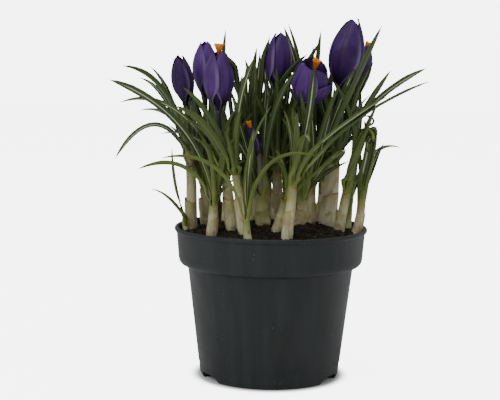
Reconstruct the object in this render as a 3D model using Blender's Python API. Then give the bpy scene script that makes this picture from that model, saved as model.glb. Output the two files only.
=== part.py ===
"""A potted crocus: a 12 cm nursery pot of soil with a clump of shoots, leaves and violet flowers.

Every length in this file is in millimetres until it reaches a mesh, where MM turns it into metres.
The pot stands on z = 0 with its axis on x = y = 0, and the clump is seen from -Y.
"""
import math
from collections import namedtuple

import bmesh
import bpy
import numpy as np

MM = 0.001

# ---------------------------------------------------------------- the plan of the plant

Leaf = namedtuple("Leaf", "tip rise lean width")
Shoot = namedtuple("Shoot", "name foot mouth radius leaves")
Flower = namedtuple("Flower", "name shoot throat tip girth gape spin stigma")

# Where each shoot leaves the soil, where its sheath ends, how thick the sheath is, and its leaves:
# a leaf starts along its shoot, leans out by "lean", climbs "rise" before it bends, and ends at "tip".
SHOOTS = [
    Shoot("01", (-50, 8), (-51, 9, 131), 3.6, [
        Leaf((-92, -5, 192), 58, 0.20, 4.6),
        Leaf((-76, 12, 191), 48, 0.15, 3.4),
        Leaf((-84, 24, 184), 50, 0.25, 2.8),
        Leaf((-84, 30, 163), 40, 0.30, 2.6),
    ]),
    Shoot("02", (-41, 20), (-43, 18, 116), 3.3, [
        Leaf((-99, 20, 133), 72, 0.25, 3.2),
        Leaf((-60, 60, 178), 50, 0.20, 3.0),
    ]),
    Shoot("03", (-36, -25), (-35, -24, 111), 3.2, [
        Leaf((-99, -16, 184), 56, 0.25, 4.4),
        Leaf((-26, -32, 159), 30, 0.10, 4.4),
        Leaf((-80, -36, 132), 36, 0.45, 2.6),
        Leaf((-44, -56, 150), 40, 0.20, 3.0),
    ]),
    Shoot("04", (-33, 42), (-35, 40, 120), 2.7, [
        Leaf((-30, 36, 215), 50, 0.10, 3.0),
        Leaf((-48, 22, 190), 40, 0.10, 3.0),
        Leaf((-72, 68, 160), 46, 0.35, 3.4),
        Leaf((-38, 79, 172), 48, 0.25, 3.2),
    ]),
    Shoot("05", (-24, -19), (-29, -18, 130), 3.6, [
        Leaf((-93, -10, 170), 58, 0.35, 3.2),
        Leaf((-56, -36, 161), 34, 0.30, 3.2),
        Leaf((-68, -8, 151), 30, 0.40, 2.6),
        Leaf((-37, -2, 186), 36, 0.05, 3.4),
    ]),
    Shoot("06", (-17, -31), (-22, -30, 128), 3.0, [
        Leaf((-11, -26, 199), 40, 0.05, 4.2),
        Leaf((-57, -46, 170), 36, 0.25, 4.2),
        Leaf((-19, -38, 167), 24, 0.05, 3.8),
        Leaf((-28, -46, 156), 20, 0.10, 3.0),
        Leaf((-54, -34, 181), 38, 0.15, 3.2),
    ]),
    Shoot("07", (-14, -46), (-15, -46, 104), 2.4, [
        Leaf((-64, -62, 141), 44, 0.20, 3.4),
        Leaf((25, -60, 143), 46, 0.20, 3.4),
        Leaf((-1, -44, 171), 36, -0.10, 3.2),
    ]),
    Shoot("08", (-11, 10), (-11, 10, 118), 2.8, [
        Leaf((-2, 4, 211), 52, 0.0, 3.6),
        Leaf((-8, 24, 201), 44, 0.05, 2.8),
        Leaf((21, -6, 200), 56, 0.00, 4.2),
        Leaf((-29, -30, 200), 50, 0.0, 3.2),
    ]),
    Shoot("09", (-5, -10), (-6, -10, 114), 4.2, [
        Leaf((14, -20, 191), 54, 0.05, 3.6),
        Leaf((-2, -4, 178), 34, 0.05, 3.0),
        Leaf((-24, -8, 168), 30, 0.15, 2.8),
    ]),
    Shoot("10", (4, 12), (4, 12, 126), 3.6, [
        Leaf((2, 0, 179), 30, 0.10, 4.0),
        Leaf((29, 6, 208), 50, 0.05, 3.4),
        Leaf((-6, 34, 196), 40, 0.15, 3.0),
        Leaf((12, 20, 190), 34, 0.05, 3.2),
    ]),
    Shoot("11", (3, -28), (8, -28, 112), 3.0, [
        Leaf((-3, -42, 141), 24, 0.05, 2.8),
        Leaf((43, -48, 146), 22, 0.50, 3.0),
        Leaf((24, -26, 193), 44, 0.05, 4.2),
        Leaf((11, -36, 170), 30, 0.0, 3.2),
    ]),
    Shoot("12", (9, -42), (12, -42, 124), 3.2, [
        Leaf((94, -16, 185), 40, 0.45, 4.4),
        Leaf((30, -56, 151), 26, 0.30, 2.8),
        Leaf((68, -22, 176), 30, 0.50, 3.2),
        Leaf((20, -80, 152), 44, 0.35, 3.2),
    ]),
    Shoot("13", (17, -8), (20, -8, 114), 3.4, [
        Leaf((64, -24, 218), 40, 0.20, 3.6),
        Leaf((16, -28, 171), 36, 0.0, 2.8),
        Leaf((40, -24, 183), 50, 0.05, 3.2),
        Leaf((26, 18, 196), 40, 0.22, 3.4),
    ]),
    Shoot("14", (17, 25), (18, 25, 118), 3.0, [
        Leaf((7, 26, 217), 46, -0.20, 3.6),
        Leaf((26, 33, 205), 40, 0.10, 3.4),
        Leaf((22, 56, 182), 48, 0.15, 3.0),
    ]),
    Shoot("15", (28, 45), (27, 44, 112), 2.8, [
        Leaf((10, 42, 219), 50, -0.10, 3.4),
        Leaf((31, 38, 215), 50, 0.05, 3.2),
        Leaf((44, 78, 168), 50, 0.25, 3.4),
        Leaf((70, 60, 150), 44, 0.35, 3.0),
    ]),
    Shoot("16", (36, 8), (39, 8, 134), 5.2, [
        Leaf((98, 30, 192), 44, 0.45, 3.8),
        Leaf((73, 6, 191), 32, 0.35, 3.2),
        Leaf((54, 2, 182), 28, 0.20, 4.8),
        Leaf((59, -6, 176), 26, 0.30, 2.6),
    ]),
    Shoot("17", (33, 29), (33, 28, 120), 3.4, [
        Leaf((27, 20, 190), 36, 0.05, 3.4),
        Leaf((62, 50, 182), 46, 0.30, 3.4),
        Leaf((46, 68, 178), 48, 0.20, 3.2),
    ]),
    Shoot("18", (42, -8), (46, -8, 118), 3.2, [
        Leaf((51, -13, 165), 30, 0.05, 4.2),
        Leaf((55, -4, 172), 30, 0.10, 3.2),
        Leaf((58, -30, 160), 34, 0.20, 3.0),
    ]),
    Shoot("19", (53, -6), (56, -6, 112), 3.0, [
        Leaf((64, -10, 152), 26, 0.10, 3.4),
        Leaf((69, -1, 146), 26, 0.15, 3.4),
    ]),
    Shoot("20", (49, 12), (50, 13, 104), 2.2, [
        Leaf((56, 14, 158), 36, 0.0, 3.0),
        Leaf((84, 44, 140), 46, 0.25, 2.8),
    ]),
    Shoot("21", (-53, 2), (-54, 1, 98), 1.8, [
        Leaf((-74, -10, 117), 22, 0.55, 2.4),
        Leaf((-62, 0, 142), 24, 0.20, 2.0),
    ]),
    Shoot("22", (-16, 36), (-17, 38, 114), 3.0, [
        Leaf((-10, 30, 204), 46, 0.05, 3.2),
        Leaf((-20, 80, 184), 50, 0.25, 3.4),
        Leaf((-52, 74, 142), 50, 0.30, 3.0),
    ]),
    Shoot("23", (4, 46), (4, 48, 112), 2.8, [
        Leaf((9, 40, 202), 46, 0.05, 3.2),
        Leaf((-6, 79, 158), 50, 0.25, 3.2),
        Leaf((24, 80, 186), 52, 0.25, 3.2),
    ]),
]
BARE_SHOOTS = ("07", "15", "20", "21", "22", "23")     # young shoots that have no sheath of their own

# A flower's cup runs from throat to tip, is "girth" in radius at its widest and "gape" at its mouth.
FLOWERS = [
    Flower("1", "01", (-53, 6, 168), (-58, 2, 199), 6.8, 1.6, 115, 0),
    Flower("2", "02", (-42, 19, 173), (-43, 20, 208), 8.2, 1.8, 85, 0),
    Flower("3", "05", (-33, -20, 167), (-33, -21, 203), 9.4, 2.6, 82, 5.5),
    Flower("4", "10", (2, 11, 178), (4, 8, 214), 8.4, 1.6, 63, 0),
    Flower("5", "13", (20, -2, 168), (26, -12, 196), 12.0, 8.0, 95, 4.0),
    Flower("6", "16", (41, 8, 178), (50, 4, 223), 10.6, 2.0, 5, 0),
    Flower("7", "17", (46, 27, 172), (60, 26, 207), 8.8, 2.6, 40, 2.0),
]
BUD = Flower("8", "09", (-8, -10, 138), (-14, -13, 157), 2.9, 1.6, 0, 0)

SOIL_EDGE, SOIL_CROWN, SOIL_REACH = 90.0, 7.0, 55.0
GAP = 0.3               # clearance between pieces that lie against one another
SKIN = 0.5              # thickness of leaves and petals
RECESS = 3.0            # how far the leaf bases sit down inside a sheath
TUBE = 1.3              # radius of the tube that carries a flower
ROUTE = 41              # points along a leaf while the clump is being spread out


def soil_level(x, y):
    """Height of the domed soil at a point."""
    return SOIL_EDGE + SOIL_CROWN * (1 - (x * x + y * y) / SOIL_REACH ** 2)


def shoot_named(name):
    return next(shoot for shoot in SHOOTS if shoot.name == name)


def shoot_axis(shoot):
    """Foot and mouth of a shoot as two points."""
    x, y = shoot.foot
    return np.array([x, y, soil_level(x, y)]), np.array(shoot.mouth, float)


def carries_flower(shoot):
    return any(flower.shoot == shoot.name for flower in FLOWERS + [BUD])


def ring_radius(shoot):
    """Outer radius of the ring of leaf bases: wider where a flower's tube comes up through it."""
    return 2.6 if carries_flower(shoot) else 1.8


def leaf_bearings(shoot):
    """The share of the ring each leaf grows from, chosen so that neighbours keep their order."""
    mouth = shoot.mouth
    heading = [math.atan2(leaf.tip[1] - mouth[1], leaf.tip[0] - mouth[0]) for leaf in shoot.leaves]
    order = sorted(range(len(heading)), key=lambda i: heading[i])
    step = 2 * math.pi / len(order)
    lag = [heading[leaf] - step * place for place, leaf in enumerate(order)]
    start = math.atan2(sum(map(math.sin, lag)), sum(map(math.cos, lag)))
    bearing = [0.0] * len(order)
    for place, leaf in enumerate(order):
        bearing[leaf] = start + step * place
    return bearing


def leaf_route(shoot, leaf, bearing):
    """A leaf's midrib from the ring of leaf bases to its tip, as ROUTE points."""
    foot, mouth = shoot_axis(shoot)
    axis = (mouth - foot) / np.linalg.norm(mouth - foot)
    outward = np.array([math.cos(bearing), math.sin(bearing), 0.0])
    tip = np.array(leaf.tip, float)
    toward = (tip - mouth) * [1, 1, 0]
    toward /= max(np.linalg.norm(toward), 1.0)
    climb = axis + leaf.lean * toward
    start = mouth + outward * ring_radius(shoot)
    bend = start + leaf.rise * climb / np.linalg.norm(climb)
    t = np.linspace(0, 1, ROUTE)[:, None]
    return (1 - t) ** 2 * start + 2 * t * (1 - t) * bend + t ** 2 * tip


def leaf_half_width(leaf, t):
    """Half of a leaf's width along its length: slim at the base, long and pointed at the tip."""
    base = 0.62 + 0.38 * np.clip(t / 0.3, 0, 1)
    point = np.clip((1 - t) / 0.55, 0, 1) ** 0.75
    return 0.5 * leaf.width * np.minimum(base, point)


def cup_radius(flower, t):
    """Radius of a flower's cup at t = 0 (throat) to 1 (tip)."""
    t = np.asarray(t, float)
    swell = TUBE + (flower.girth - TUBE) * np.sin(np.pi / 2 * np.clip(t / 0.5, 0, 1)) ** 0.85
    close = np.cos(np.pi / 2 * np.clip((t - 0.5) / 0.5, 0, 1)) ** 0.9
    return np.where(t < 0.5, swell, flower.gape + (flower.girth - flower.gape) * close)


def tube_route(flower, count):
    """The tube of a flower from the bottom of the sheath's recess to the throat of the cup."""
    shoot = shoot_named(flower.shoot)
    foot, mouth = shoot_axis(shoot)
    axis = (mouth - foot) / np.linalg.norm(mouth - foot)
    throat, tip = np.array(flower.throat, float), np.array(flower.tip, float)
    start = mouth - axis * (RECESS - GAP)
    reach = np.linalg.norm(throat - start)
    cup = (tip - throat) / np.linalg.norm(tip - throat)
    first, second = start + axis * reach * 0.25, throat - cup * reach * 0.15
    t = np.linspace(0, 1, count)[:, None]
    return ((1 - t) ** 3 * start + 3 * t * (1 - t) ** 2 * first
            + 3 * t ** 2 * (1 - t) * second + t ** 3 * throat)


def obstacles():
    """Sheaths, tubes and cups as rows of balls (x, y, z, radius, shoot) for the leaves to clear."""
    balls = []
    for shoot in SHOOTS:
        foot, mouth = shoot_axis(shoot)
        for t in np.linspace(0, 1, 14):
            balls.append([*(foot + (mouth - foot) * t), shoot.radius, int(shoot.name)])
    for flower in FLOWERS + [BUD]:
        for point in tube_route(flower, 16):
            balls.append([*point, TUBE, int(flower.shoot)])
        throat, tip = np.array(flower.throat, float), np.array(flower.tip, float)
        for t in np.linspace(0, 1, 16):
            balls.append([*(throat + (tip - throat) * t), float(cup_radius(flower, t)), int(flower.shoot)])
    return np.array(balls)


def distances(points, others):
    """Distance from every point to every other one, as a table."""
    near = points.astype(np.float32)
    far = others.astype(np.float32)
    square = (near ** 2).sum(axis=1)[:, None] + (far ** 2).sum(axis=1)[None, :] - 2 * near @ far.T
    return np.sqrt(np.maximum(square, 1e-4))


def spread_leaves(rounds=90, clearance=0.7):
    """Leaves lean apart until every one clears its neighbours, the sheaths and the flowers."""
    routes, widths, owner = [], [], []
    t = np.linspace(0, 1, ROUTE)
    for shoot in SHOOTS:
        for leaf, bearing in zip(shoot.leaves, leaf_bearings(shoot)):
            routes.append(leaf_route(shoot, leaf, bearing))
            widths.append(leaf_half_width(leaf, t))
            owner.append(int(shoot.name))
    routes, widths, owner = np.array(routes), np.array(widths), np.array(owner)
    count = len(routes)
    leaf_of = np.repeat(np.arange(count), ROUTE)
    group = owner[leaf_of]
    half = widths.reshape(-1)
    along = np.linalg.norm(np.diff(routes, axis=1), axis=2).cumsum(axis=1)
    along = np.concatenate([np.zeros((count, 1)), along], axis=1).reshape(-1)
    balls = obstacles()
    sister = group[:, None] == group[None, :]
    ramp = 0.35 + 0.65 * np.clip((along[:, None] + along[None, :]) / 40.0, 0, 1)
    need = half[:, None] + half[None, :] + clearance
    need = np.where(sister, need * ramp, need)
    need[leaf_of[:, None] >= leaf_of[None, :]] = 0
    need = need.astype(np.float32)
    own_ball = group[:, None] == balls[None, :, 4]
    ball_need = balls[None, :, 3] + np.where(own_ball, 1.9, half[:, None] + clearance)
    start = np.clip(along / 5.0, 0, 1)[:, None]
    centre = balls[:, :3]
    for _ in range(rounds):
        points = routes.reshape(-1, 3)
        push = np.zeros_like(points)
        distance = distances(points, points)
        one, other = np.nonzero(distance < need)
        away = (points[one] - points[other]) / distance[one, other][:, None]
        size = 0.5 * (need[one, other] - distance[one, other])[:, None]
        np.add.at(push, one, away * size)
        np.add.at(push, other, -away * size)
        distance = distances(points, centre)
        leaf_at, ball = np.nonzero(distance < ball_need)
        away = (points[leaf_at] - centre[ball]) / distance[leaf_at, ball][:, None]
        size = (ball_need[leaf_at, ball] - distance[leaf_at, ball])[:, None]
        np.add.at(push, leaf_at, away * size)
        push = (np.clip(push, -1.5, 1.5) * start).reshape(count, ROUTE, 3)
        for _ in range(6):
            middle = (push[:, :-2] + 2 * push[:, 1:-1] + push[:, 2:]) / 4
            end = (push[:, -2] + push[:, -1])[:, None] / 2
            push = np.concatenate([push[:, :1] * 0, middle, end], axis=1)
        routes = routes + 0.9 * push
    spread, at = {}, 0
    for shoot in SHOOTS:
        spread[shoot.name] = routes[at:at + len(shoot.leaves)]
        at += len(shoot.leaves)
    return spread


# ---------------------------------------------------------------- meshes

def material(name, colour, roughness):
    """A plain Principled material."""
    surface = bpy.data.materials.new(name)
    surface.use_nodes = True
    shader = next(node for node in surface.node_tree.nodes if node.type == "BSDF_PRINCIPLED")
    shader.inputs["Base Color"].default_value = (*colour, 1.0)
    shader.inputs["Roughness"].default_value = roughness
    return surface


def solid(name, points, faces, surface):
    """An object from points in millimetres and faces, with its normals pointing out."""
    mesh = bpy.data.meshes.new(name)
    mesh.from_pydata([tuple(float(c) * MM for c in point) for point in points], [], faces)
    mesh.materials.append(surface)
    thing = bpy.data.objects.new(name, mesh)
    bpy.context.collection.objects.link(thing)
    return thing


def face_outward(thing):
    """Make the face directions of a closed mesh agree and point out."""
    work = bmesh.new()
    work.from_mesh(thing.data)
    bmesh.ops.recalc_face_normals(work, faces=work.faces)
    if work.calc_volume(signed=True) < 0:
        bmesh.ops.reverse_faces(work, faces=work.faces)
    work.to_mesh(thing.data)
    work.free()


def turned(name, outline, sides, surface):
    """Turn a closed (radius, height) outline about the z axis; radius 0 makes a single point."""
    points, rows = [], []
    for radius, height in outline:
        if radius == 0:
            rows.append([len(points)] * sides)
            points.append((0, 0, height))
            continue
        rows.append([len(points) + side for side in range(sides)])
        for side in range(sides):
            angle = 2 * math.pi * side / sides
            points.append((radius * math.cos(angle), radius * math.sin(angle), height))
    faces = []
    for row, low in enumerate(rows):
        high = rows[(row + 1) % len(rows)]
        for side in range(sides):
            after = (side + 1) % sides
            corners = list(dict.fromkeys([low[side], low[after], high[after], high[side]]))
            if len(corners) > 2:
                faces.append(corners)
    thing = solid(name, points, faces, surface)
    face_outward(thing)
    return thing


def whorl(name, rings, blades, inward, surface):
    """Leaves or petals that grow from one ring.

    rings: rows of points around the ring, lowest first.  blades: for each share of the top ring,
    its later rows (each as many points as the share has) and then its tip.  The surface is given
    thickness towards the inside and comes out as one closed body.
    """
    points, faces = [], []
    rows = []
    for ring in rings:
        rows.append([len(points) + i for i in range(len(ring))])
        points.extend(ring)
    around = len(rings[0])
    for low, high in zip(rows, rows[1:]):
        for i in range(around):
            j = (i + 1) % around
            faces.append([low[i], low[j], high[j], high[i]])
    share = around // len(blades)
    for number, blade in enumerate(blades):
        low = [rows[-1][(number * share + i) % around] for i in range(share + 1)]
        for row in blade[:-1]:
            high = [len(points) + i for i in range(share + 1)]
            points.extend(row)
            for i in range(share):
                faces.append([low[i], low[i + 1], high[i + 1], high[i]])
            low = high
        tip = len(points)
        points.append(blade[-1])
        for i in range(share):
            faces.append([low[i], low[i + 1], tip])
    thing = solid(name, points, faces, surface)
    thicken = thing.modifiers.new("skin", "SOLIDIFY")
    thicken.thickness = inward * MM
    thicken.offset = -1
    thicken.use_rim = True
    return thing


def frame_along(direction):
    """Two directions square to the given one, the first as near to +X as it can be."""
    direction = direction / np.linalg.norm(direction)
    across = np.array([1.0, 0.0, 0.0]) - direction * direction[0]
    across /= np.linalg.norm(across)
    return across, np.cross(direction, across)


for leftover in list(bpy.data.objects):
    bpy.data.objects.remove(leftover)

# ---------------------------------------------------------------- pot and soil

POT_SIDES = 40
POT_OUTLINE = [
    (41.8, 0.0), (42.9, 1.0), (43.6, 3.2), (44.0, 8.6), (44.4, 9.0),         # foot
    (51.6, 69.0), (55.4, 70.8), (57.1, 72.6), (57.4, 75.0),                  # wall, underside of the band
    (58.6, 90.4), (59.9, 91.3), (60.0, 92.8), (59.0, 93.8),                  # band and lip
    (57.6, 93.4), (57.4, 90.0), (56.2, 75.4), (54.9, 72.3), (50.7, 70.4),    # inside, going down
    (43.3, 6.0), (42.4, 5.2), (0.0, 5.2), (0.0, 4.0), (41.6, 4.0), (40.4, 0.0),
]
SOIL_OUTLINE = [(56.4, 86.0), (55.7, 75.8), (54.5, 72.9), (50.2, 70.8), (42.9, 6.4), (42.1, 5.6)]
NOTCH_AZIMUTHS = (90, 210, 330)          # from +X; between them a skirt faces the front
DRAIN_RING, DRAIN_RADIUS, DRAINS = 30.0, 4.0, 6


def wedge(name, azimuth):
    """A cutter for one notch of the foot, wider at the bottom than at the top."""
    turn = math.radians(azimuth)
    points = []
    for radius in (37.3, 48.0):
        for height, half in ((-1.0, 9.8), (3.5, 7.6)):
            for side in (-1, 1):
                x, y = radius, side * half
                points.append((x * math.cos(turn) - y * math.sin(turn),
                               x * math.sin(turn) + y * math.cos(turn), height))
    faces = [[0, 1, 3, 2], [4, 6, 7, 5], [0, 4, 5, 1], [2, 3, 7, 6], [0, 2, 6, 4], [1, 5, 7, 3]]
    cutter = solid(name, points, faces, plastic)
    face_outward(cutter)
    return cutter


def drain(name, azimuth):
    """A cutter for one drain hole in the floor."""
    turn = math.radians(azimuth)
    centre = (DRAIN_RING * math.cos(turn), DRAIN_RING * math.sin(turn))
    cutter = turned(name, [(0, 2.0), (DRAIN_RADIUS, 2.0), (DRAIN_RADIUS, 7.0), (0, 7.0)], 10, plastic)
    for vertex in cutter.data.vertices:
        vertex.co.x += centre[0] * MM
        vertex.co.y += centre[1] * MM
    return cutter


plastic = material("pot_plastic", (0.030, 0.034, 0.036), 0.45)
peat = material("soil_peat", (0.030, 0.018, 0.011), 0.95)

pot = turned("pot", POT_OUTLINE, POT_SIDES, plastic)
cutters = [wedge(f"notch_{azimuth}", azimuth) for azimuth in NOTCH_AZIMUTHS]
cutters += [drain(f"drain_{i}", 360 * i / DRAINS + 11) for i in range(DRAINS)]
for cutter in cutters:
    cutter.hide_render = True
    cutter.display_type = "WIRE"
    cut = pot.modifiers.new(cutter.name, "BOOLEAN")
    cut.operation = "DIFFERENCE"
    cut.solver = "EXACT"
    cut.object = cutter

soil_top = [(radius, soil_level(radius, 0)) for radius in (0, 14, 28, 42)] + [(56.5, 89.4)]
turned("soil", [(0, 5.6)] + SOIL_OUTLINE[::-1] + soil_top[::-1], 36, peat)

# ---------------------------------------------------------------- sheaths

CREAM, BROWN = (0.62, 0.52, 0.33), (0.22, 0.12, 0.06)
GREEN, YOUNG_GREEN = (0.045, 0.095, 0.030), (0.20, 0.26, 0.06)
VIOLET, DEEP_VIOLET, ORANGE = (0.075, 0.040, 0.22), (0.05, 0.025, 0.16), (0.8, 0.25, 0.02)
SHEATH_SIDES = 8


def slice_round(centre, radius, sides, turn=0.0):
    """A level ring of points."""
    angles = [turn + 2 * math.pi * side / sides for side in range(sides)]
    return [(centre[0] + radius * math.cos(a), centre[1] + radius * math.sin(a), centre[2]) for a in angles]


def on_soil(ring):
    """Lower a ring of points until it lies just above the soil."""
    return [(x, y, soil_level(x, y) + GAP) for x, y, _ in ring]


def sheath(shoot):
    """The papery sheath of a shoot: a stout leaning stem with a recess at its mouth for the leaves."""
    foot, mouth = shoot_axis(shoot)
    recess = ring_radius(shoot) + 0.35
    down = (mouth - foot) * (RECESS / (mouth[2] - foot[2]))
    rows = [on_soil(slice_round(foot, shoot.radius * 1.05, SHEATH_SIDES))]
    for along, swell in ((0.35, 1.0), (0.7, 0.96)):
        rows.append(slice_round(foot + (mouth - foot) * along, shoot.radius * swell, SHEATH_SIDES))
    rows.append(slice_round(mouth, max(shoot.radius * 0.9, recess + 0.4), SHEATH_SIDES))
    rows.append(slice_round(mouth, recess, SHEATH_SIDES))
    rows.append(slice_round(mouth - down, recess, SHEATH_SIDES))
    points = [point for row in rows for point in row]
    faces = []
    for row in range(len(rows) - 1):
        for side in range(SHEATH_SIDES):
            after = (side + 1) % SHEATH_SIDES
            low, high = row * SHEATH_SIDES, (row + 1) * SHEATH_SIDES
            faces.append([low + side, low + after, high + after, high + side])
    for row, centre in ((0, (foot[0], foot[1], soil_level(*shoot.foot) + GAP)), (len(rows) - 1, mouth - down)):
        points.append(tuple(centre))
        for side in range(SHEATH_SIDES):
            after = (side + 1) % SHEATH_SIDES
            faces.append([row * SHEATH_SIDES + side, row * SHEATH_SIDES + after, len(points) - 1])
    tone = BROWN if shoot.name in ("04", "17") else CREAM
    thing = solid(f"sheath_{shoot.name}", points, faces, material(f"sheath_{shoot.name}", tone, 0.6))
    face_outward(thing)


for shoot in SHOOTS:
    if shoot.name not in BARE_SHOOTS:
        sheath(shoot)

# ---------------------------------------------------------------- leaves

STEPS = np.array([0.07, 0.15, 0.28, 0.46, 0.65, 0.83])       # rows of points along a leaf
RIDGE = 0.20                                                 # how deep a leaf is folded, per width


def blade_rows(shoot, leaf, bearing, route):
    """Rows of left edge, midrib and right edge along a leaf, then its tip."""
    t = np.linspace(0, 1, ROUTE)
    tip, mouth = route[-1], route[0]
    heading = math.atan2(tip[1] - mouth[1], tip[0] - mouth[0])
    level = np.array([-math.sin(heading), math.cos(heading), 0.0])
    across = np.array([-math.sin(bearing), math.cos(bearing), 0.0])
    rows = []
    for step in STEPS:
        here = np.array([np.interp(step, t, route[:, k]) for k in range(3)])
        ahead = np.array([np.interp(step + 0.03, t, route[:, k]) - here[k] for k in range(3)])
        ahead /= np.linalg.norm(ahead)
        turned_by = np.clip(step / 0.7, 0, 1)
        side = across * (1 - turned_by) + level * turned_by
        side -= ahead * side.dot(ahead)
        side /= np.linalg.norm(side)
        inner = np.cross(ahead, side)
        half = float(leaf_half_width(leaf, step))
        fold = inner * half * 2 * RIDGE
        rows.append([here - side * half + fold / 2, here - fold / 2, here + side * half + fold / 2])
    rows.append(tip)
    return rows


def leaves(shoot, routes):
    """All the leaves of a shoot as one body."""
    bearings = leaf_bearings(shoot)
    order = sorted(range(len(bearings)), key=lambda i: bearings[i])
    foot, mouth = shoot_axis(shoot)
    axis = (mouth - foot) / (mouth[2] - foot[2])
    sides = 2 * len(order)
    turn = bearings[order[0]] - 2 * math.pi / sides
    radius = ring_radius(shoot)
    if shoot.name in BARE_SHOOTS:
        low = on_soil(slice_round(foot, shoot.radius, sides, turn))
        stem = [slice_round(foot + (mouth - foot) * 0.5, shoot.radius, sides, turn)]
        rings = [low] + stem + [slice_round(mouth, radius, sides, turn)]
    else:
        rings = [slice_round(mouth - axis * (RECESS - GAP), radius, sides, turn),
                 slice_round(mouth + axis, radius, sides, turn)]
    blades = [blade_rows(shoot, shoot.leaves[i], bearings[i], routes[i]) for i in order]
    young = shoot.name in ("07", "21")
    colour = material(f"leaves_{shoot.name}", YOUNG_GREEN if young else GREEN, 0.5)
    whorl(f"leaves_{shoot.name}", rings, blades, SKIN, colour)


spread = spread_leaves()
for shoot in SHOOTS:
    leaves(shoot, spread[shoot.name])

# ---------------------------------------------------------------- flowers

PETAL_STEPS = (0.17, 0.38, 0.62, 0.84)
PETAL_SHARE = 3                          # faces across one petal
PETAL_SPLIT = 0.35                       # half the slit between neighbouring petals


def cup_point(flower, t, angle, radius):
    throat, tip = np.array(flower.throat, float), np.array(flower.tip, float)
    across, other = frame_along(tip - throat)
    return throat + (tip - throat) * t + (across * math.cos(angle) + other * math.sin(angle)) * radius


def petals(flower, spin, radius_at, steps, end):
    """Three petals of a cup, each as rows of points and a tip."""
    blades = []
    for number in range(3):
        centre = spin + 2 * math.pi * number / 3
        rows = []
        for t in steps:
            reach = math.pi / 3 * math.sqrt(max(1 - (t / end) ** 7, 0)) - PETAL_SPLIT / radius_at(t)
            angles = [centre + reach * (2 * i / PETAL_SHARE - 1) for i in range(PETAL_SHARE + 1)]
            rows.append([cup_point(flower, t, angle, radius_at(t)) for angle in angles])
        rows.append(cup_point(flower, end, centre, radius_at(end)))
        blades.append(rows)
    return blades


def cup_ring(flower, t, spin, radius):
    count = 3 * PETAL_SHARE
    return [cup_point(flower, t, spin - math.pi / 3 + 2 * math.pi * i / count, radius) for i in range(count)]


def outer_petals(flower, name, surface):
    """The tube of a flower and the three outer petals it opens into."""
    spin = math.radians(flower.spin)
    route = tube_route(flower, 5)
    rings = []
    for at in range(len(route) - 1):
        direction = route[min(at + 1, len(route) - 1)] - route[max(at - 1, 0)]
        across, other = frame_along(direction)
        rings.append([route[at] + TUBE * (across * math.cos(a) + other * math.sin(a))
                      for a in (spin - math.pi / 3 + 2 * math.pi * i / (3 * PETAL_SHARE)
                                for i in range(3 * PETAL_SHARE))])
    rings.append(cup_ring(flower, 0, spin, TUBE))
    rings.append(cup_ring(flower, 0.06, spin, float(cup_radius(flower, 0.06))))
    blades = petals(flower, spin, lambda t: float(cup_radius(flower, t)), PETAL_STEPS, 1.0)
    whorl(name, rings, blades, SKIN, surface)


def inner_petals(flower, name, surface):
    """The three inner petals, turned into the gaps of the outer ones."""
    spin = math.radians(flower.spin) + math.pi / 3

    def radius_at(t):
        return max(0.90 * float(cup_radius(flower, t)) - 0.85, 0.95)

    rings = [cup_ring(flower, t, spin, radius_at(t)) for t in (0.10, 0.15)]
    blades = petals(flower, spin, radius_at, (0.30, 0.50, 0.70, 0.86), 0.96)
    whorl(name, rings, blades, SKIN, surface)


def stigma(flower):
    """The orange stigma on its style, standing up through the middle of the cup."""
    throat, tip = np.array(flower.throat, float), np.array(flower.tip, float)
    height = np.linalg.norm(tip - throat)
    top = height + flower.stigma
    outline = [(0, 0.2 * height), (0.45, 0.2 * height), (0.45, top - 5.0), (1.4, top - 2.5),
               (2.6, top), (1.6, top), (0, top - 1.6)]
    thing = turned(f"stigma_{flower.name}", outline, 8, material(f"stigma_{flower.name}", ORANGE, 0.6))
    across, other = frame_along(tip - throat)
    up = (tip - throat) / height
    for vertex in thing.data.vertices:
        x, y, z = vertex.co
        vertex.co = throat * MM + across * x + other * y + up * z


for flower in FLOWERS:
    outer_petals(flower, f"outer_petals_{flower.name}", material(f"outer_petals_{flower.name}", VIOLET, 0.5))
    inner_petals(flower, f"inner_petals_{flower.name}", material(f"inner_petals_{flower.name}", DEEP_VIOLET, 0.5))
    if flower.stigma:
        stigma(flower)
outer_petals(BUD, "bud_8", material("bud_8", VIOLET, 0.5))
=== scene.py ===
"""A potted crocus, dressed: pot, soil, papery sheaths, striped leaves and violet flowers."""

import math
import random
from collections import namedtuple

import bpy
import numpy as np
from mathutils import Matrix, Vector, noise


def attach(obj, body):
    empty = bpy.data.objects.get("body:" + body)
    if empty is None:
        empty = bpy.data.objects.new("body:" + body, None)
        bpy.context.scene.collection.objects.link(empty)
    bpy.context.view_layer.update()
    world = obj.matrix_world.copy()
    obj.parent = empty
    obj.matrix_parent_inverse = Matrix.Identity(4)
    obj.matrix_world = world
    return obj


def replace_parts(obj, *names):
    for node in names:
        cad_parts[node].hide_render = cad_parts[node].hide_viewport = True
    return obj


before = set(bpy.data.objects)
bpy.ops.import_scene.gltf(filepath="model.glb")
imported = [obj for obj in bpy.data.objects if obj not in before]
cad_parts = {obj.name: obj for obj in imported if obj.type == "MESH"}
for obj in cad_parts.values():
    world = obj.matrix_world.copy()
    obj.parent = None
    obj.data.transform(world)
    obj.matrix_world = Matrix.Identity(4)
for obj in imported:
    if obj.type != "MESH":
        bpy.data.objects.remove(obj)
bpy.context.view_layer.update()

# ---------------------------------------------------------------- studio
# A plain pale sweep, a big soft light on each side and one above, and a long lens a little above
# the rim of the pot, so that the far side of the rim just shows.

LENS, LENS_HEIGHT, LENS_DISTANCE, LENS_SIDE = 97.9, 0.213, 0.84, -0.0132
PITCH, ROLL = math.radians(90 - 7.0), math.radians(0.7)

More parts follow.
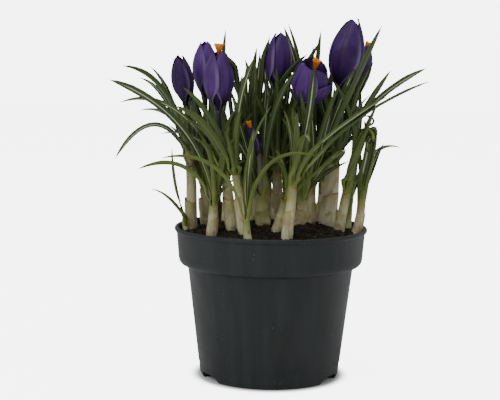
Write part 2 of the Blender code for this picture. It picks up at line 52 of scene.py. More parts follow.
aim = Matrix.Rotation(PITCH, 3, "X") @ Matrix.Rotation(ROLL, 3, "Z")
bpy.ops.object.camera_add(location=(LENS_SIDE, -LENS_DISTANCE, LENS_HEIGHT), rotation=aim.to_euler())
camera = bpy.context.object
camera.data.lens = LENS
camera.data.sensor_width = 36
bpy.context.scene.camera = camera


def new_material(name, colour, roughness):
    """A new Principled material, its node tree and its shader."""
    finish = bpy.data.materials.new(name)
    finish.use_nodes = True
    tree = finish.node_tree
    shader = next(node for node in tree.nodes if node.type == "BSDF_PRINCIPLED")
    shader.inputs["Base Color"].default_value = (*colour, 1)
    shader.inputs["Roughness"].default_value = roughness
    return finish, tree, shader


def stepped(tree, value, low, high, start=0.0, end=1.0):
    """Map a value from low..high to start..end, smoothly and held at both ends."""
    ramp = tree.nodes.new("ShaderNodeMapRange")
    ramp.interpolation_type = "SMOOTHSTEP"
    tree.links.new(value, ramp.inputs["Value"])
    for name, number in (("From Min", low), ("From Max", high), ("To Min", start), ("To Max", end)):
        ramp.inputs[name].default_value = number
    return ramp.outputs["Result"]


def combined(tree, kind, first, second=None):
    """A Math node on one or two sockets or values."""
    sums = tree.nodes.new("ShaderNodeMath")
    sums.operation = kind
    for socket, value in zip(sums.inputs, (first, second)):
        if isinstance(value, bpy.types.NodeSocket):
            tree.links.new(value, socket)
        elif value is not None:
            socket.default_value = value
    return sums.outputs[0]


def deselect():
    for thing in bpy.context.selected_objects:
        thing.select_set(False)


def soft_light(name, place, target, size, power):
    """A square softbox that faces a point."""
    facing = (Vector(target) - Vector(place)).to_track_quat("-Z", "Y").to_euler()
    bpy.ops.object.light_add(type="AREA", location=place, rotation=facing)
    lamp = bpy.context.object
    lamp.name = name
    lamp.data.size = size
    lamp.data.energy = power


deselect()
MIDDLE = (0, 0, 0.12)
soft_light("key", (-0.9, -0.9, 1.1), MIDDLE, 0.9, 10)
soft_light("fill", (1.1, -0.7, 0.9), MIDDLE, 1.1, 1.8)
soft_light("top", (0.1, 0.2, 1.4), MIDDLE, 1.0, 5)

ROOM_GLOW, PAPER_GLOW, SKY_EXTRA = 0.5, 5.5, 0.6
# Under the pot and for a few millimetres round its foot the paper does not glow: a painted contact shadow.
SHADED_UNDER, SHADE_EDGE = 0.0435, 0.008          # the paper does not glow under the pot
DAYLIGHT = (0.98, 0.99, 1.0, 1)


def seen_directly(tree, when_seen, otherwise):
    """A number for what the camera looks at, and another for the light that reaches the plant."""
    path = tree.nodes.new("ShaderNodeLightPath")
    return stepped(tree, path.outputs["Is Camera Ray"], 0, 1, otherwise, when_seen)


world = bpy.data.worlds.new("studio")
world.use_nodes = True
sky = world.node_tree.nodes["Background"]
sky.inputs["Color"].default_value = DAYLIGHT
seen_sky = seen_directly(world.node_tree, PAPER_GLOW + SKY_EXTRA, ROOM_GLOW)
world.node_tree.links.new(seen_sky, sky.inputs["Strength"])
bpy.context.scene.world = world

deselect()
bpy.ops.mesh.primitive_plane_add(size=6, location=(0, 0, 0))
sweep = bpy.context.object
sweep.name = "floor"
paper, tree, shader = new_material("backdrop_paper", (0.90, 0.90, 0.90), 0.9)
shader.inputs["Emission Color"].default_value = DAYLIGHT
out_from_pot = tree.nodes.new("ShaderNodeVectorMath")
out_from_pot.operation = "LENGTH"
tree.links.new(tree.nodes.new("ShaderNodeTexCoord").outputs["Object"], out_from_pot.inputs[0])
# The glow fades out under the pot and just round its foot, which paints a contact shadow on the floor.
glow_past_painted_shadow = stepped(tree, out_from_pot.outputs["Value"], SHADED_UNDER, SHADED_UNDER + SHADE_EDGE)
glow = combined(tree, "MULTIPLY", seen_directly(tree, PAPER_GLOW, 0.0), glow_past_painted_shadow)
tree.links.new(glow, shader.inputs["Emission Strength"])
sweep.data.materials.append(paper)

# ---------------------------------------------------------------- pot
# A thin moulded polypropylene nursery pot: tapered wall, deep upright band with a rolled lip, and a
# low foot whose skirt is cut away in three places so that water can drain from under the floor.

POT_SEGMENTS = 96
# The outline from the foot's underside, up the outside, over the lip and down the inside: radius, height.
OUTSIDE = [(0.0418, 0.0), (0.0424, 0.0003), (0.0429, 0.0010), (0.0434, 0.0022), (0.0437, 0.0040),
           (0.0440, 0.0084), (0.0441, 0.0088), (0.0444, 0.0092), (0.0470, 0.0310), (0.0495, 0.0520),
           (0.0515, 0.0686), (0.0519, 0.0693), (0.0540, 0.0700), (0.0556, 0.0709), (0.0568, 0.0722),
           (0.0573, 0.0740), (0.0575, 0.0760), (0.0586, 0.0898), (0.0588, 0.0906), (0.0594, 0.0910),
           (0.0599, 0.0916), (0.0600, 0.0924), (0.0598, 0.0932), (0.0592, 0.0937), (0.0584, 0.0938)]
INSIDE = [(0.0577, 0.0934), (0.0574, 0.0900), (0.0562, 0.0754), (0.0549, 0.0723), (0.0507, 0.0704),
          (0.0433, 0.0060), (0.0424, 0.0052), (0.0200, 0.0052)]
UNDER = [(0.0410, 0.0), (0.0404, 0.0001), (0.0408, 0.0020), (0.0414, 0.0038), (0.0408, 0.0041),
         (0.0200, 0.0040)]


def mixed(tree, factor, first, second):
    """Mix two colours; each of the three is a socket or a value."""
    mix = tree.nodes.new("ShaderNodeMix")
    mix.data_type = "RGBA"
    for socket, value in ((mix.inputs[0], factor), (mix.inputs[6], first), (mix.inputs[7], second)):
        if isinstance(value, bpy.types.NodeSocket):
            tree.links.new(value, socket)
        elif socket.type == "RGBA":
            socket.default_value = (*value, 1)
        else:
            socket.default_value = value
    return mix.outputs[2]


def layered(tree, base, layers):
    """Lay colours over a base one after another, each where its mask says."""
    for mask, colour in layers:
        base = mixed(tree, mask, base, colour)
    return base


def product(tree, first, second):
    return combined(tree, "MULTIPLY", first, second)


def speckle(tree, place, scale, detail=3.0, stretch=(1, 1, 1)):
    """Noise over a set of coordinates, which may be stretched first."""
    mapping = tree.nodes.new("ShaderNodeMapping")
    mapping.inputs["Scale"].default_value = stretch
    tree.links.new(place, mapping.inputs["Vector"])
    cloud = tree.nodes.new("ShaderNodeTexNoise")
    cloud.inputs["Scale"].default_value = scale
    cloud.inputs["Detail"].default_value = detail
    tree.links.new(mapping.outputs[0], cloud.inputs["Vector"])
    return cloud.outputs["Fac"]


def object_place(tree):
    """A piece's own coordinates, in metres."""
    return tree.nodes.new("ShaderNodeTexCoord").outputs["Object"]


def roughen(tree, shader, height, strength, distance):
    """Bump the shader's normal by a height."""
    bump = tree.nodes.new("ShaderNodeBump")
    bump.inputs["Strength"].default_value = strength
    bump.inputs["Distance"].default_value = distance
    tree.links.new(height, bump.inputs["Height"])
    tree.links.new(bump.outputs[0], shader.inputs["Normal"])


def painted(tree, shader, base, shine=None, through=0.0, reach=(1.0, 0.2, 0.1)):
    """Give a shader its colour, its roughness where that varies, and the light it lets through."""
    tree.links.new(base, shader.inputs["Base Color"])
    if shine:
        tree.links.new(shine, shader.inputs["Roughness"])
    shader.inputs["Subsurface Weight"].default_value = through
    shader.inputs["Subsurface Radius"].default_value = reach


def only(thing):
    """Make one object the selected and active one."""
    deselect()
    thing.select_set(True)
    bpy.context.view_layer.objects.active = thing


def apply_all(thing):
    """Apply an object's modifiers, top to bottom."""
    only(thing)
    for modifier in list(thing.modifiers):
        bpy.ops.object.modifier_apply(modifier=modifier.name)


def lathe_up(name, outline, segments):
    """Pull a circle up and in or out along an outline, ring by ring."""
    deselect()
    radius, height = outline[0]
    bpy.ops.mesh.primitive_circle_add(vertices=segments, radius=radius, location=(0, 0, height))
    wall = bpy.context.object
    wall.name = name
    bpy.ops.object.mode_set(mode="EDIT")
    bpy.ops.mesh.select_all(action="SELECT")
    for next_radius, next_height in outline[1:]:
        rise = next_height - height
        bpy.ops.mesh.extrude_region_move(TRANSFORM_OT_translate={"value": (0, 0, rise)})
        grow = next_radius / radius
        bpy.ops.transform.resize(value=(grow, grow, 1), center_override=(0, 0, next_height))
        radius, height = next_radius, next_height
    return wall


def close_ring():
    """Fill the ring being worked on with a fan that meets on the pot's axis."""
    bpy.ops.mesh.extrude_region_move()
    bpy.ops.mesh.merge(type="CENTER")


pot = lathe_up("pot_shell", UNDER[::-1] + OUTSIDE + INSIDE, POT_SEGMENTS)
close_ring()
bpy.ops.mesh.select_all(action="DESELECT")
bpy.ops.object.mode_set(mode="OBJECT")
floor_radius, floor_height = UNDER[-1]
for vertex in pot.data.vertices:
    level_with_floor = abs(vertex.co.z + pot.location.z - floor_height) < 1e-6
    vertex.select = level_with_floor and vertex.co.to_2d().length < 1.05 * floor_radius
bpy.ops.object.mode_set(mode="EDIT")
close_ring()
bpy.ops.mesh.select_all(action="SELECT")
bpy.ops.mesh.normals_make_consistent(inside=False)
bpy.ops.object.mode_set(mode="OBJECT")
bpy.ops.object.transform_apply(location=True, rotation=True, scale=True)

NOTCH_AZIMUTHS = (90, 210, 330)
NOTCH_FOOT, NOTCH_CROWN, NOTCH_TOP = 0.0228, 0.0160, 0.0042        # width below, width above, height
NOTCH_OUT, NOTCH_DEPTH, NOTCH_ROUNDING = 0.0425, 0.013, 0.0016
DRAINS, DRAIN_RING, DRAIN_RADIUS, DRAIN_HEIGHT, DRAIN_TURN = 6, 0.030, 0.004, 0.0046, 11
SHARPER_THAN = math.radians(32)                   # edges sharper than this stay crisp


def notch_cutter(azimuth):
    """A block that narrows upwards, to cut one notch of the foot with slanted, rounded sides."""
    deselect()
    bpy.ops.mesh.primitive_cube_add(size=1, location=(NOTCH_OUT, 0, 0),
                                    scale=(NOTCH_DEPTH, NOTCH_FOOT, 2 * NOTCH_TOP))
    block = bpy.context.object
    bpy.ops.object.transform_apply(location=True, rotation=True, scale=True)
    for corner in block.data.vertices:
        if corner.co.z > 0:
            corner.co.y *= NOTCH_CROWN / NOTCH_FOOT
    rounding = block.modifiers.new("rounding", "BEVEL")
    rounding.width = NOTCH_ROUNDING
    rounding.segments = 4
    apply_all(block)
    block.data.transform(Matrix.Rotation(math.radians(azimuth), 4, "Z"))
    return block


def drain_cutter(azimuth):
    """A round plug through the floor, to cut one drain hole."""
    deselect()
    turn = math.radians(azimuth)
    place = (DRAIN_RING * math.cos(turn), DRAIN_RING * math.sin(turn), DRAIN_HEIGHT)
    bpy.ops.mesh.primitive_cylinder_add(vertices=24, radius=DRAIN_RADIUS, depth=0.004, location=place)
    return bpy.context.object


cutters = [notch_cutter(azimuth) for azimuth in NOTCH_AZIMUTHS]
cutters += [drain_cutter(360 * number / DRAINS + DRAIN_TURN) for number in range(DRAINS)]
for cutter in cutters:
    cut = pot.modifiers.new("cut", "BOOLEAN")
    cut.operation = "DIFFERENCE"
    cut.object = cutter
apply_all(pot)
for cutter in cutters:
    bpy.data.objects.remove(cutter)
only(pot)
bpy.ops.object.shade_smooth_by_angle(angle=SHARPER_THAN)


def pot_plastic():
    """Recycled dark slate polypropylene: faint flow streaks down the wall, scuffs and dust specks."""
    finish, tree, shader = new_material("pot_plastic", (0.03, 0.034, 0.036), 0.42)
    place = object_place(tree)
    streaks = speckle(tree, place, 1.0, 4, (150, 150, 7))
    clouds = speckle(tree, place, 28, 4)
    specks = stepped(tree, speckle(tree, place, 520, 1), 0.735, 0.79)
    dust = product(tree, specks, stepped(tree, speckle(tree, place, 45, 2), 0.48, 0.62, 0, 0.32))
    smudge = speckle(tree, place, 60, 5, (1, 1, 0.4))
    base = layered(tree, (0.0130, 0.0162, 0.0165), [
        (stepped(tree, streaks, 0.35, 0.7), (0.0196, 0.0234, 0.0240)),
        (stepped(tree, clouds, 0.5, 0.78, 0, 0.4), (0.026, 0.029, 0.029)),
        (dust, (0.22, 0.21, 0.18)),
        (stepped(tree, smudge, 0.62, 0.74, 0, 0.45), (0.010, 0.009, 0.008))])
    painted(tree, shader, base, stepped(tree, clouds, 0.3, 0.7, 0.40, 0.54))
    shader.inputs["Specular IOR Level"].default_value = 0.34
    grain = speckle(tree, place, 900, 2)
    roughen(tree, shader, combined(tree, "ADD", grain, product(tree, streaks, 2.0)), 0.12, 0.0003)
    return finish


pot.data.materials.append(pot_plastic())
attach(pot, "root")
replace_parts(pot, "pot")

# ---------------------------------------------------------------- soil
# Moist dark peat, domed up between the shoots and heaped a little on the right, with crumbs and
# reddish fibres lying loose on it and a gap where it has shrunk from the wall.

MM = 0.001
SOIL_EDGE, SOIL_CROWN, SOIL_REACH = 90.0, 7.0, 55.0
SOIL_RADIUS, SOIL_DEPTH = 0.0567, 0.012
SHRUNK_FROM, SHRUNK = 0.93, 0.0018                # the outer ring sinks away from the wall
HEAPS = [(3.4, 30, -26, 230), (-2.0, -38, -34, 160)]      # height, place and spread of a heap and a dip


def soil_level(x, y):
    """Height in millimetres of the domed soil at a point in millimetres."""
    return SOIL_EDGE + SOIL_CROWN * (1 - (x * x + y * y) / SOIL_REACH ** 2)


def peat_height(x, y):
    """The crumbly surface itself, in metres."""
    level = soil_level(x, y)
    for height, heap_x, heap_y, spread_out in HEAPS:
        level += height * math.exp(-((x - heap_x) ** 2 + (y - heap_y) ** 2) / spread_out)
    lumps = 1.5 * noise.noise(Vector((x, y, 3.0)) * 0.16) + 0.9 * noise.noise(Vector((x, y, 7.0)) * 0.5)
    crumbs = 0.55 * abs(noise.noise(Vector((x, y, 11.0)) * 1.3))
    return (level + lumps + crumbs - 0.9) * MM


def mound_of_peat():
    """A fine grid cut to a disc, raised to the heaped surface, with a skirt that goes down the wall."""
    deselect()
    bpy.ops.mesh.primitive_grid_add(x_subdivisions=150, y_subdivisions=150, size=2 * SOIL_RADIUS)
    ground = bpy.context.object
    ground.name = "soil_top"
    for vertex in ground.data.vertices:
        x, y = vertex.co.x / SOIL_RADIUS, vertex.co.y / SOIL_RADIUS
        vertex.co.x = SOIL_RADIUS * x * math.sqrt(1 - y * y / 2)
        vertex.co.y = SOIL_RADIUS * y * math.sqrt(1 - x * x / 2)
        radius = vertex.co.to_2d().length
        level = peat_height(vertex.co.x / MM, vertex.co.y / MM)
        edge = min(max((radius / SOIL_RADIUS - SHRUNK_FROM) / (1 - SHRUNK_FROM), 0), 1)
        vertex.co.z = level - SHRUNK * edge * edge
    bpy.ops.object.mode_set(mode="EDIT")
    bpy.ops.mesh.select_all(action="DESELECT")
    bpy.ops.mesh.select_non_manifold()
    bpy.ops.mesh.extrude_region_move(TRANSFORM_OT_translate={"value": (0, 0, -SOIL_DEPTH)})
    bpy.ops.mesh.fill()
    bpy.ops.mesh.select_all(action="SELECT")
    bpy.ops.mesh.normals_make_consistent(inside=False)
    bpy.ops.object.mode_set(mode="OBJECT")
    bpy.ops.object.shade_smooth()
    return ground


def joined(name, pieces):
    """Join pieces into one, which keeps the first one's material slots."""
    deselect()
    for piece in pieces:
        piece.select_set(True)
    bpy.context.view_layer.objects.active = pieces[0]
    if len(pieces) > 1:
        bpy.ops.object.join()
    whole = bpy.context.view_layer.objects.active
    whole.name = name
    return whole


def loose_bits(name, count, seed, long, thick, lift, tilt):
    """Copies of one lumpy pebble or splinter, scattered over the peat and joined."""
    chance = random.Random(seed)
    bits = []
    for number in range(count):
        radius = SOIL_RADIUS / MM * 0.97 * math.sqrt(chance.random())
        turn = chance.uniform(0, 2 * math.pi)
        x, y = radius * math.cos(turn), radius * math.sin(turn)
        size = chance.uniform(0.55, 1.0)
        deselect()
        bpy.ops.mesh.primitive_ico_sphere_add(subdivisions=1, radius=1)
        bit = bpy.context.object
        for corner in bit.data.vertices:
            corner.co *= 1 + 0.35 * noise.noise(corner.co * 1.7 + Vector((number, 0, seed)))
        bit.data.transform(Matrix.Diagonal((long * size * MM, thick * size * MM, thick * size * MM, 1)))
        slope = Matrix.Rotation(chance.uniform(-tilt, tilt), 4, "Y")
        spin = Matrix.Rotation(chance.uniform(0, math.pi), 4, "Z")
        where = Matrix.Translation((x * MM, y * MM, peat_height(x, y) + lift * MM))
        bit.data.transform(where @ spin @ slope)
        bits.append(bit)
    return joined(name, bits)


def peat(name, dark, mid, red):
    """Moist peat: near-black crumbs with warmer and reddish ones among them."""
    finish, tree, shader = new_material(name, dark, 0.85)
    place = object_place(tree)
    base = layered(tree, dark, [(stepped(tree, speckle(tree, place, 260, 5), 0.4, 0.68), mid),
                                (stepped(tree, speckle(tree, place, 700, 3), 0.56, 0.7, 0, 0.8), red),
                                (stepped(tree, speckle(tree, place, 90, 2), 0.55, 0.7, 0, 0.6), dark)])
    painted(tree, shader, base, stepped(tree, speckle(tree, place, 200, 2), 0.4, 0.6, 0.55, 0.95))
    shader.inputs["Specular IOR Level"].default_value = 0.25
    roughen(tree, shader, speckle(tree, place, 800, 4), 0.8, 0.0008)
    return finish


ground = mound_of_peat()
bed = peat("peat_bed", (0.0036, 0.0026, 0.0019), (0.017, 0.0100, 0.0060), (0.095, 0.048, 0.024))
ground.data.materials.append(bed)
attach(ground, "root")
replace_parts(ground, "soil")

crumbs = loose_bits("soil_crumbs", count=640, seed=5, long=1.25, thick=0.9, lift=0.15, tilt=0.6)
crumb = peat("peat_crumb", (0.0050, 0.0036, 0.0026), (0.030, 0.017, 0.010), (0.15, 0.075, 0.038))
fibres = loose_bits("soil_fibres", count=380, seed=9, long=3.6, thick=0.22, lift=0.35, tilt=0.45)
fibre = peat("peat_fibre", (0.035, 0.020, 0.012), (0.120, 0.066, 0.034), (0.27, 0.18, 0.105))
for litter, skin in ((crumbs, crumb), (fibres, fibre)):
    litter.data.materials.append(skin)
    only(litter)
    bpy.ops.object.shade_smooth()
    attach(litter, "root")

# ---------------------------------------------------------------- how the clump grows
# Twenty-three shoots stand in the pot.  Each sends up a fan of leaves from one ring, and seven of
# them a flower on a slender tube.  Leaves lean apart until they clear one another.

Leaf = namedtuple("Leaf", "tip rise lean width")
Shoot = namedtuple("Shoot", "name foot mouth radius leaves")
Flower = namedtuple("Flower", "name shoot throat tip girth gape spin")

# Where each shoot leaves the soil, where its sheath ends, how thick the sheath is, and its leaves.
# A leaf is the three coordinates of its tip, how far it climbs before it bends, how far it leans out
# and how broad it is.
PLAN = [
    ("01", (-50, 8), (-51, 9, 131), 3.6, [
        (-92, -5, 192, 58, 0.20, 4.6), (-76, 12, 191, 48, 0.15, 3.4), (-84, 24, 184, 50, 0.25, 2.8),
        (-84, 30, 163, 40, 0.30, 2.6)]),
    ("02", (-41, 20), (-43, 18, 116), 3.3, [
        (-99, 20, 133, 72, 0.25, 3.2), (-60, 60, 178, 50, 0.20, 3.0)]),
    ("03", (-36, -25), (-35, -24, 111), 3.2, [
        (-99, -16, 184, 56, 0.25, 4.4), (-26, -32, 159, 30, 0.10, 4.4), (-80, -36, 132, 36, 0.45, 2.6),
        (-44, -56, 150, 40, 0.20, 3.0)]),
    ("04", (-33, 42), (-35, 40, 120), 2.7, [
        (-30, 36, 215, 50, 0.10, 3.0), (-48, 22, 190, 40, 0.10, 3.0), (-72, 68, 160, 46, 0.35, 3.4),
        (-38, 79, 172, 48, 0.25, 3.2)]),
    ("05", (-24, -19), (-29, -18, 130), 3.6, [
        (-93, -10, 170, 58, 0.35, 3.2), (-56, -36, 161, 34, 0.30, 3.2), (-68, -8, 151, 30, 0.40, 2.6),
        (-37, -2, 186, 36, 0.05, 3.4)]),
    ("06", (-17, -31), (-22, -30, 128), 3.0, [
        (-11, -26, 199, 40, 0.05, 4.2), (-57, -46, 170, 36, 0.25, 4.2), (-19, -38, 167, 24, 0.05, 3.8),
        (-28, -46, 156, 20, 0.10, 3.0), (-54, -34, 181, 38, 0.15, 3.2)]),
    ("07", (-14, -46), (-15, -46, 104), 2.4, [
        (-64, -62, 141, 44, 0.20, 3.4), (25, -60, 143, 46, 0.20, 3.4), (-1, -44, 171, 36, -0.10, 3.2)]),
    ("08", (-11, 10), (-11, 10, 118), 2.8, [
        (-2, 4, 211, 52, 0.0, 3.6), (-8, 24, 201, 44, 0.05, 2.8), (21, -6, 200, 56, 0.00, 4.2),
        (-29, -30, 200, 50, 0.0, 3.2)]),
    ("09", (-5, -10), (-6, -10, 114), 4.2, [
        (14, -20, 191, 54, 0.05, 3.6), (-2, -4, 178, 34, 0.05, 3.0), (-24, -8, 168, 30, 0.15, 2.8)]),
    ("10", (4, 12), (4, 12, 126), 3.6, [
        (2, 0, 179, 30, 0.10, 4.0), (29, 6, 208, 50, 0.05, 3.4), (-6, 34, 196, 40, 0.15, 3.0),
        (12, 20, 190, 34, 0.05, 3.2)]),
    ("11", (3, -28), (8, -28, 112), 3.0, [
        (-3, -42, 141, 24, 0.05, 2.8), (43, -48, 146, 22, 0.50, 3.0), (24, -26, 193, 44, 0.05, 4.2),
        (11, -36, 170, 30, 0.0, 3.2)]),
    ("12", (9, -42), (12, -42, 124), 3.2, [
        (94, -16, 185, 40, 0.45, 4.4), (30, -56, 151, 26, 0.30, 2.8), (68, -22, 176, 30, 0.50, 3.2),
        (20, -80, 152, 44, 0.35, 3.2)]),
    ("13", (17, -8), (20, -8, 114), 3.4, [
        (64, -24, 218, 40, 0.20, 3.6), (16, -28, 171, 36, 0.0, 2.8), (40, -24, 183, 50, 0.05, 3.2),
        (26, 18, 196, 40, 0.22, 3.4)]),
    ("14", (17, 25), (18, 25, 118), 3.0, [
        (7, 26, 217, 46, -0.20, 3.6), (26, 33, 205, 40, 0.10, 3.4), (22, 56, 182, 48, 0.15, 3.0)]),
    ("15", (28, 45), (27, 44, 112), 2.8, [
        (10, 42, 219, 50, -0.10, 3.4), (31, 38, 215, 50, 0.05, 3.2), (44, 78, 168, 50, 0.25, 3.4),
        (70, 60, 150, 44, 0.35, 3.0)]),
    ("16", (36, 8), (39, 8, 134), 5.2, [
        (98, 30, 192, 44, 0.45, 3.8), (73, 6, 191, 32, 0.35, 3.2), (54, 2, 182, 28, 0.20, 4.8),
        (59, -6, 176, 26, 0.30, 2.6)]),
    ("17", (33, 29), (33, 28, 120), 3.4, [
        (27, 20, 190, 36, 0.05, 3.4), (62, 50, 182, 46, 0.30, 3.4), (46, 68, 178, 48, 0.20, 3.2)]),
    ("18", (42, -8), (46, -8, 118), 3.2, [
        (51, -13, 165, 30, 0.05, 4.2), (55, -4, 172, 30, 0.10, 3.2), (58, -30, 160, 34, 0.20, 3.0)]),
    ("19", (53, -6), (56, -6, 112), 3.0, [
        (64, -10, 152, 26, 0.10, 3.4), (69, -1, 146, 26, 0.15, 3.4)]),
    ("20", (49, 12), (50, 13, 104), 2.2, [
        (56, 14, 158, 36, 0.0, 3.0), (84, 44, 140, 46, 0.25, 2.8)]),
    ("21", (-53, 2), (-54, 1, 98), 1.8, [
        (-74, -10, 117, 22, 0.55, 2.4), (-62, 0, 142, 24, 0.20, 2.0)]),
    ("22", (-16, 36), (-17, 38, 114), 3.0, [
        (-10, 30, 204, 46, 0.05, 3.2), (-20, 80, 184, 50, 0.25, 3.4), (-52, 74, 142, 50, 0.30, 3.0)]),
    ("23", (4, 46), (4, 48, 112), 2.8, [
        (9, 40, 202, 46, 0.05, 3.2), (-6, 79, 158, 50, 0.25, 3.2), (24, 80, 186, 52, 0.25, 3.2)]),
]
SHOOTS = [Shoot(name, foot, mouth, radius, [Leaf(row[:3], *row[3:]) for row in rows])
          for name, foot, mouth, radius, rows in PLAN]
BARE_SHOOTS = ("07", "15", "20", "21", "22", "23")     # young shoots that have no sheath of their own

# A flower's cup runs from throat to tip, is "girth" in radius at its widest and "gape" at its mouth.
FLOWERS = [
    Flower("1", "01", (-53, 6, 168), (-58, 2, 199), 6.8, 1.6, 115),
    Flower("2", "02", (-42, 19, 173), (-43, 20, 208), 8.2, 1.8, 85),
    Flower("3", "05", (-33, -20, 167), (-33, -21, 203), 9.4, 2.6, 82),
    Flower("4", "10", (2, 11, 178), (4, 8, 214), 8.4, 1.6, 63),
    Flower("5", "13", (20, -2, 168), (26, -12, 196), 12.0, 8.0, 95),
    Flower("6", "16", (41, 8, 178), (50, 4, 223), 10.6, 2.0, 5),
    Flower("7", "17", (46, 27, 172), (60, 26, 207), 8.8, 2.6, 40),
]
BUD = Flower("8", "09", (-8, -10, 138), (-14, -13, 157), 2.9, 1.6, 0)

GAP = 0.3               # clearance between pieces that lie against one another
RECESS = 3.0            # how far the leaf bases sit down inside a sheath
TUBE = 1.3              # radius of the tube that carries a flower
ROUTE = 41              # points along a leaf while the clump is being spread out


def shoot_named(name):
    return next(shoot for shoot in SHOOTS if shoot.name == name)


def shoot_axis(shoot):
    """Foot and mouth of a shoot as two points."""
    x, y = shoot.foot
    return np.array([x, y, soil_level(x, y)]), np.array(shoot.mouth, float)


def unit(vector):
    return vector / np.linalg.norm(vector)


def cup_ends(flower):
    """Throat and tip of a flower's cup as two points."""
    return np.array(flower.throat, float), np.array(flower.tip, float)


def carries_flower(shoot):
    return any(flower.shoot == shoot.name for flower in FLOWERS + [BUD])


def ring_radius(shoot):
    """Outer radius of the ring of leaf bases: wider where a flower's tube comes up through it."""
    return 2.6 if carries_flower(shoot) else 1.8


def leaf_bearings(shoot):
    """The share of the ring each leaf grows from, chosen so that neighbours keep their order."""
    mouth = shoot.mouth
    heading = [math.atan2(leaf.tip[1] - mouth[1], leaf.tip[0] - mouth[0]) for leaf in shoot.leaves]
    order = sorted(range(len(heading)), key=lambda i: heading[i])
    step = 2 * math.pi / len(order)
    lag = [heading[leaf] - step * place for place, leaf in enumerate(order)]
    start = math.atan2(sum(map(math.sin, lag)), sum(map(math.cos, lag)))
    bearing = [0.0] * len(order)
    for place, leaf in enumerate(order):
        bearing[leaf] = start + step * place
    return bearing


def leaf_route(shoot, leaf, bearing):
    """A leaf's midrib from the ring of leaf bases to its tip, as ROUTE points."""
    foot, mouth = shoot_axis(shoot)
    axis = unit(mouth - foot)
    outward = np.array([math.cos(bearing), math.sin(bearing), 0.0])
    tip = np.array(leaf.tip, float)
    toward = (tip - mouth) * [1, 1, 0]
    toward /= max(np.linalg.norm(toward), 1.0)
    climb = axis + leaf.lean * toward
    start = mouth + outward * ring_radius(shoot)
    bend = start + leaf.rise * climb / np.linalg.norm(climb)
    t = np.linspace(0, 1, ROUTE)[:, None]
    return (1 - t) ** 2 * start + 2 * t * (1 - t) * bend + t ** 2 * tip


def leaf_half_width(leaf, t):
    """Half of a leaf's width along its length: slim at the base, long and pointed at the tip."""
    base = 0.62 + 0.38 * np.clip(t / 0.3, 0, 1)
    point = np.clip((1 - t) / 0.55, 0, 1) ** 0.75
    return 0.5 * leaf.width * np.minimum(base, point)


def cup_radius(flower, t):
    """Radius of a flower's cup at t = 0 (throat) to 1 (tip)."""
    t = np.asarray(t, float)
    swell = TUBE + (flower.girth - TUBE) * np.sin(np.pi / 2 * np.clip(t / 0.5, 0, 1)) ** 0.85
    close = np.cos(np.pi / 2 * np.clip((t - 0.5) / 0.5, 0, 1)) ** 0.9
    return np.where(t < 0.5, swell, flower.gape + (flower.girth - flower.gape) * close)


def tube_route(flower, count):
    """The tube of a flower from the bottom of the sheath's recess to the throat of the cup."""
    shoot = shoot_named(flower.shoot)
    foot, mouth = shoot_axis(shoot)
    axis = unit(mouth - foot)
    throat, tip = cup_ends(flower)
    start = mouth - axis * (RECESS - GAP)
    reach = np.linalg.norm(throat - start)
    cup = unit(tip - throat)
    first, second = start + axis * reach * 0.25, throat - cup * reach * 0.15
    t = np.linspace(0, 1, count)[:, None]
    return ((1 - t) ** 3 * start + 3 * t * (1 - t) ** 2 * first
            + 3 * t ** 2 * (1 - t) * second + t ** 3 * throat)


def obstacles():
    """Sheaths, tubes and cups as rows of balls (x, y, z, radius, shoot) for the leaves to clear."""
    balls = []
    for shoot in SHOOTS:
        foot, mouth = shoot_axis(shoot)
        for t in np.linspace(0, 1, 14):
            balls.append([*(foot + (mouth - foot) * t), shoot.radius, int(shoot.name)])
    for flower in FLOWERS + [BUD]:
        for point in tube_route(flower, 16):
            balls.append([*point, TUBE, int(flower.shoot)])
        throat, tip = cup_ends(flower)
        for t in np.linspace(0, 1, 16):
            balls.append([*(throat + (tip - throat) * t), float(cup_radius(flower, t)), int(flower.shoot)])
    return np.array(balls)


def distances(points, others):
    """Distance from every point to every other one, as a table."""
    near = points.astype(np.float32)
    far = others.astype(np.float32)
    square = (near ** 2).sum(axis=1)[:, None] + (far ** 2).sum(axis=1)[None, :] - 2 * near @ far.T
    return np.sqrt(np.maximum(square, 1e-4))


ROUNDS, CLEARANCE = 90, 0.7             # how often the leaves are pushed apart, and how far
PUSH_LIMIT, PUSH_SHARE, PUSH_EVENINGS = 1.5, 0.9, 6
HELD, SISTERS_CLOSE = 5.0, 40.0         # lengths near the foot: held still, and where sisters may be close
OWN_ROOM = 1.9                          # room that a midrib keeps from its own shoot


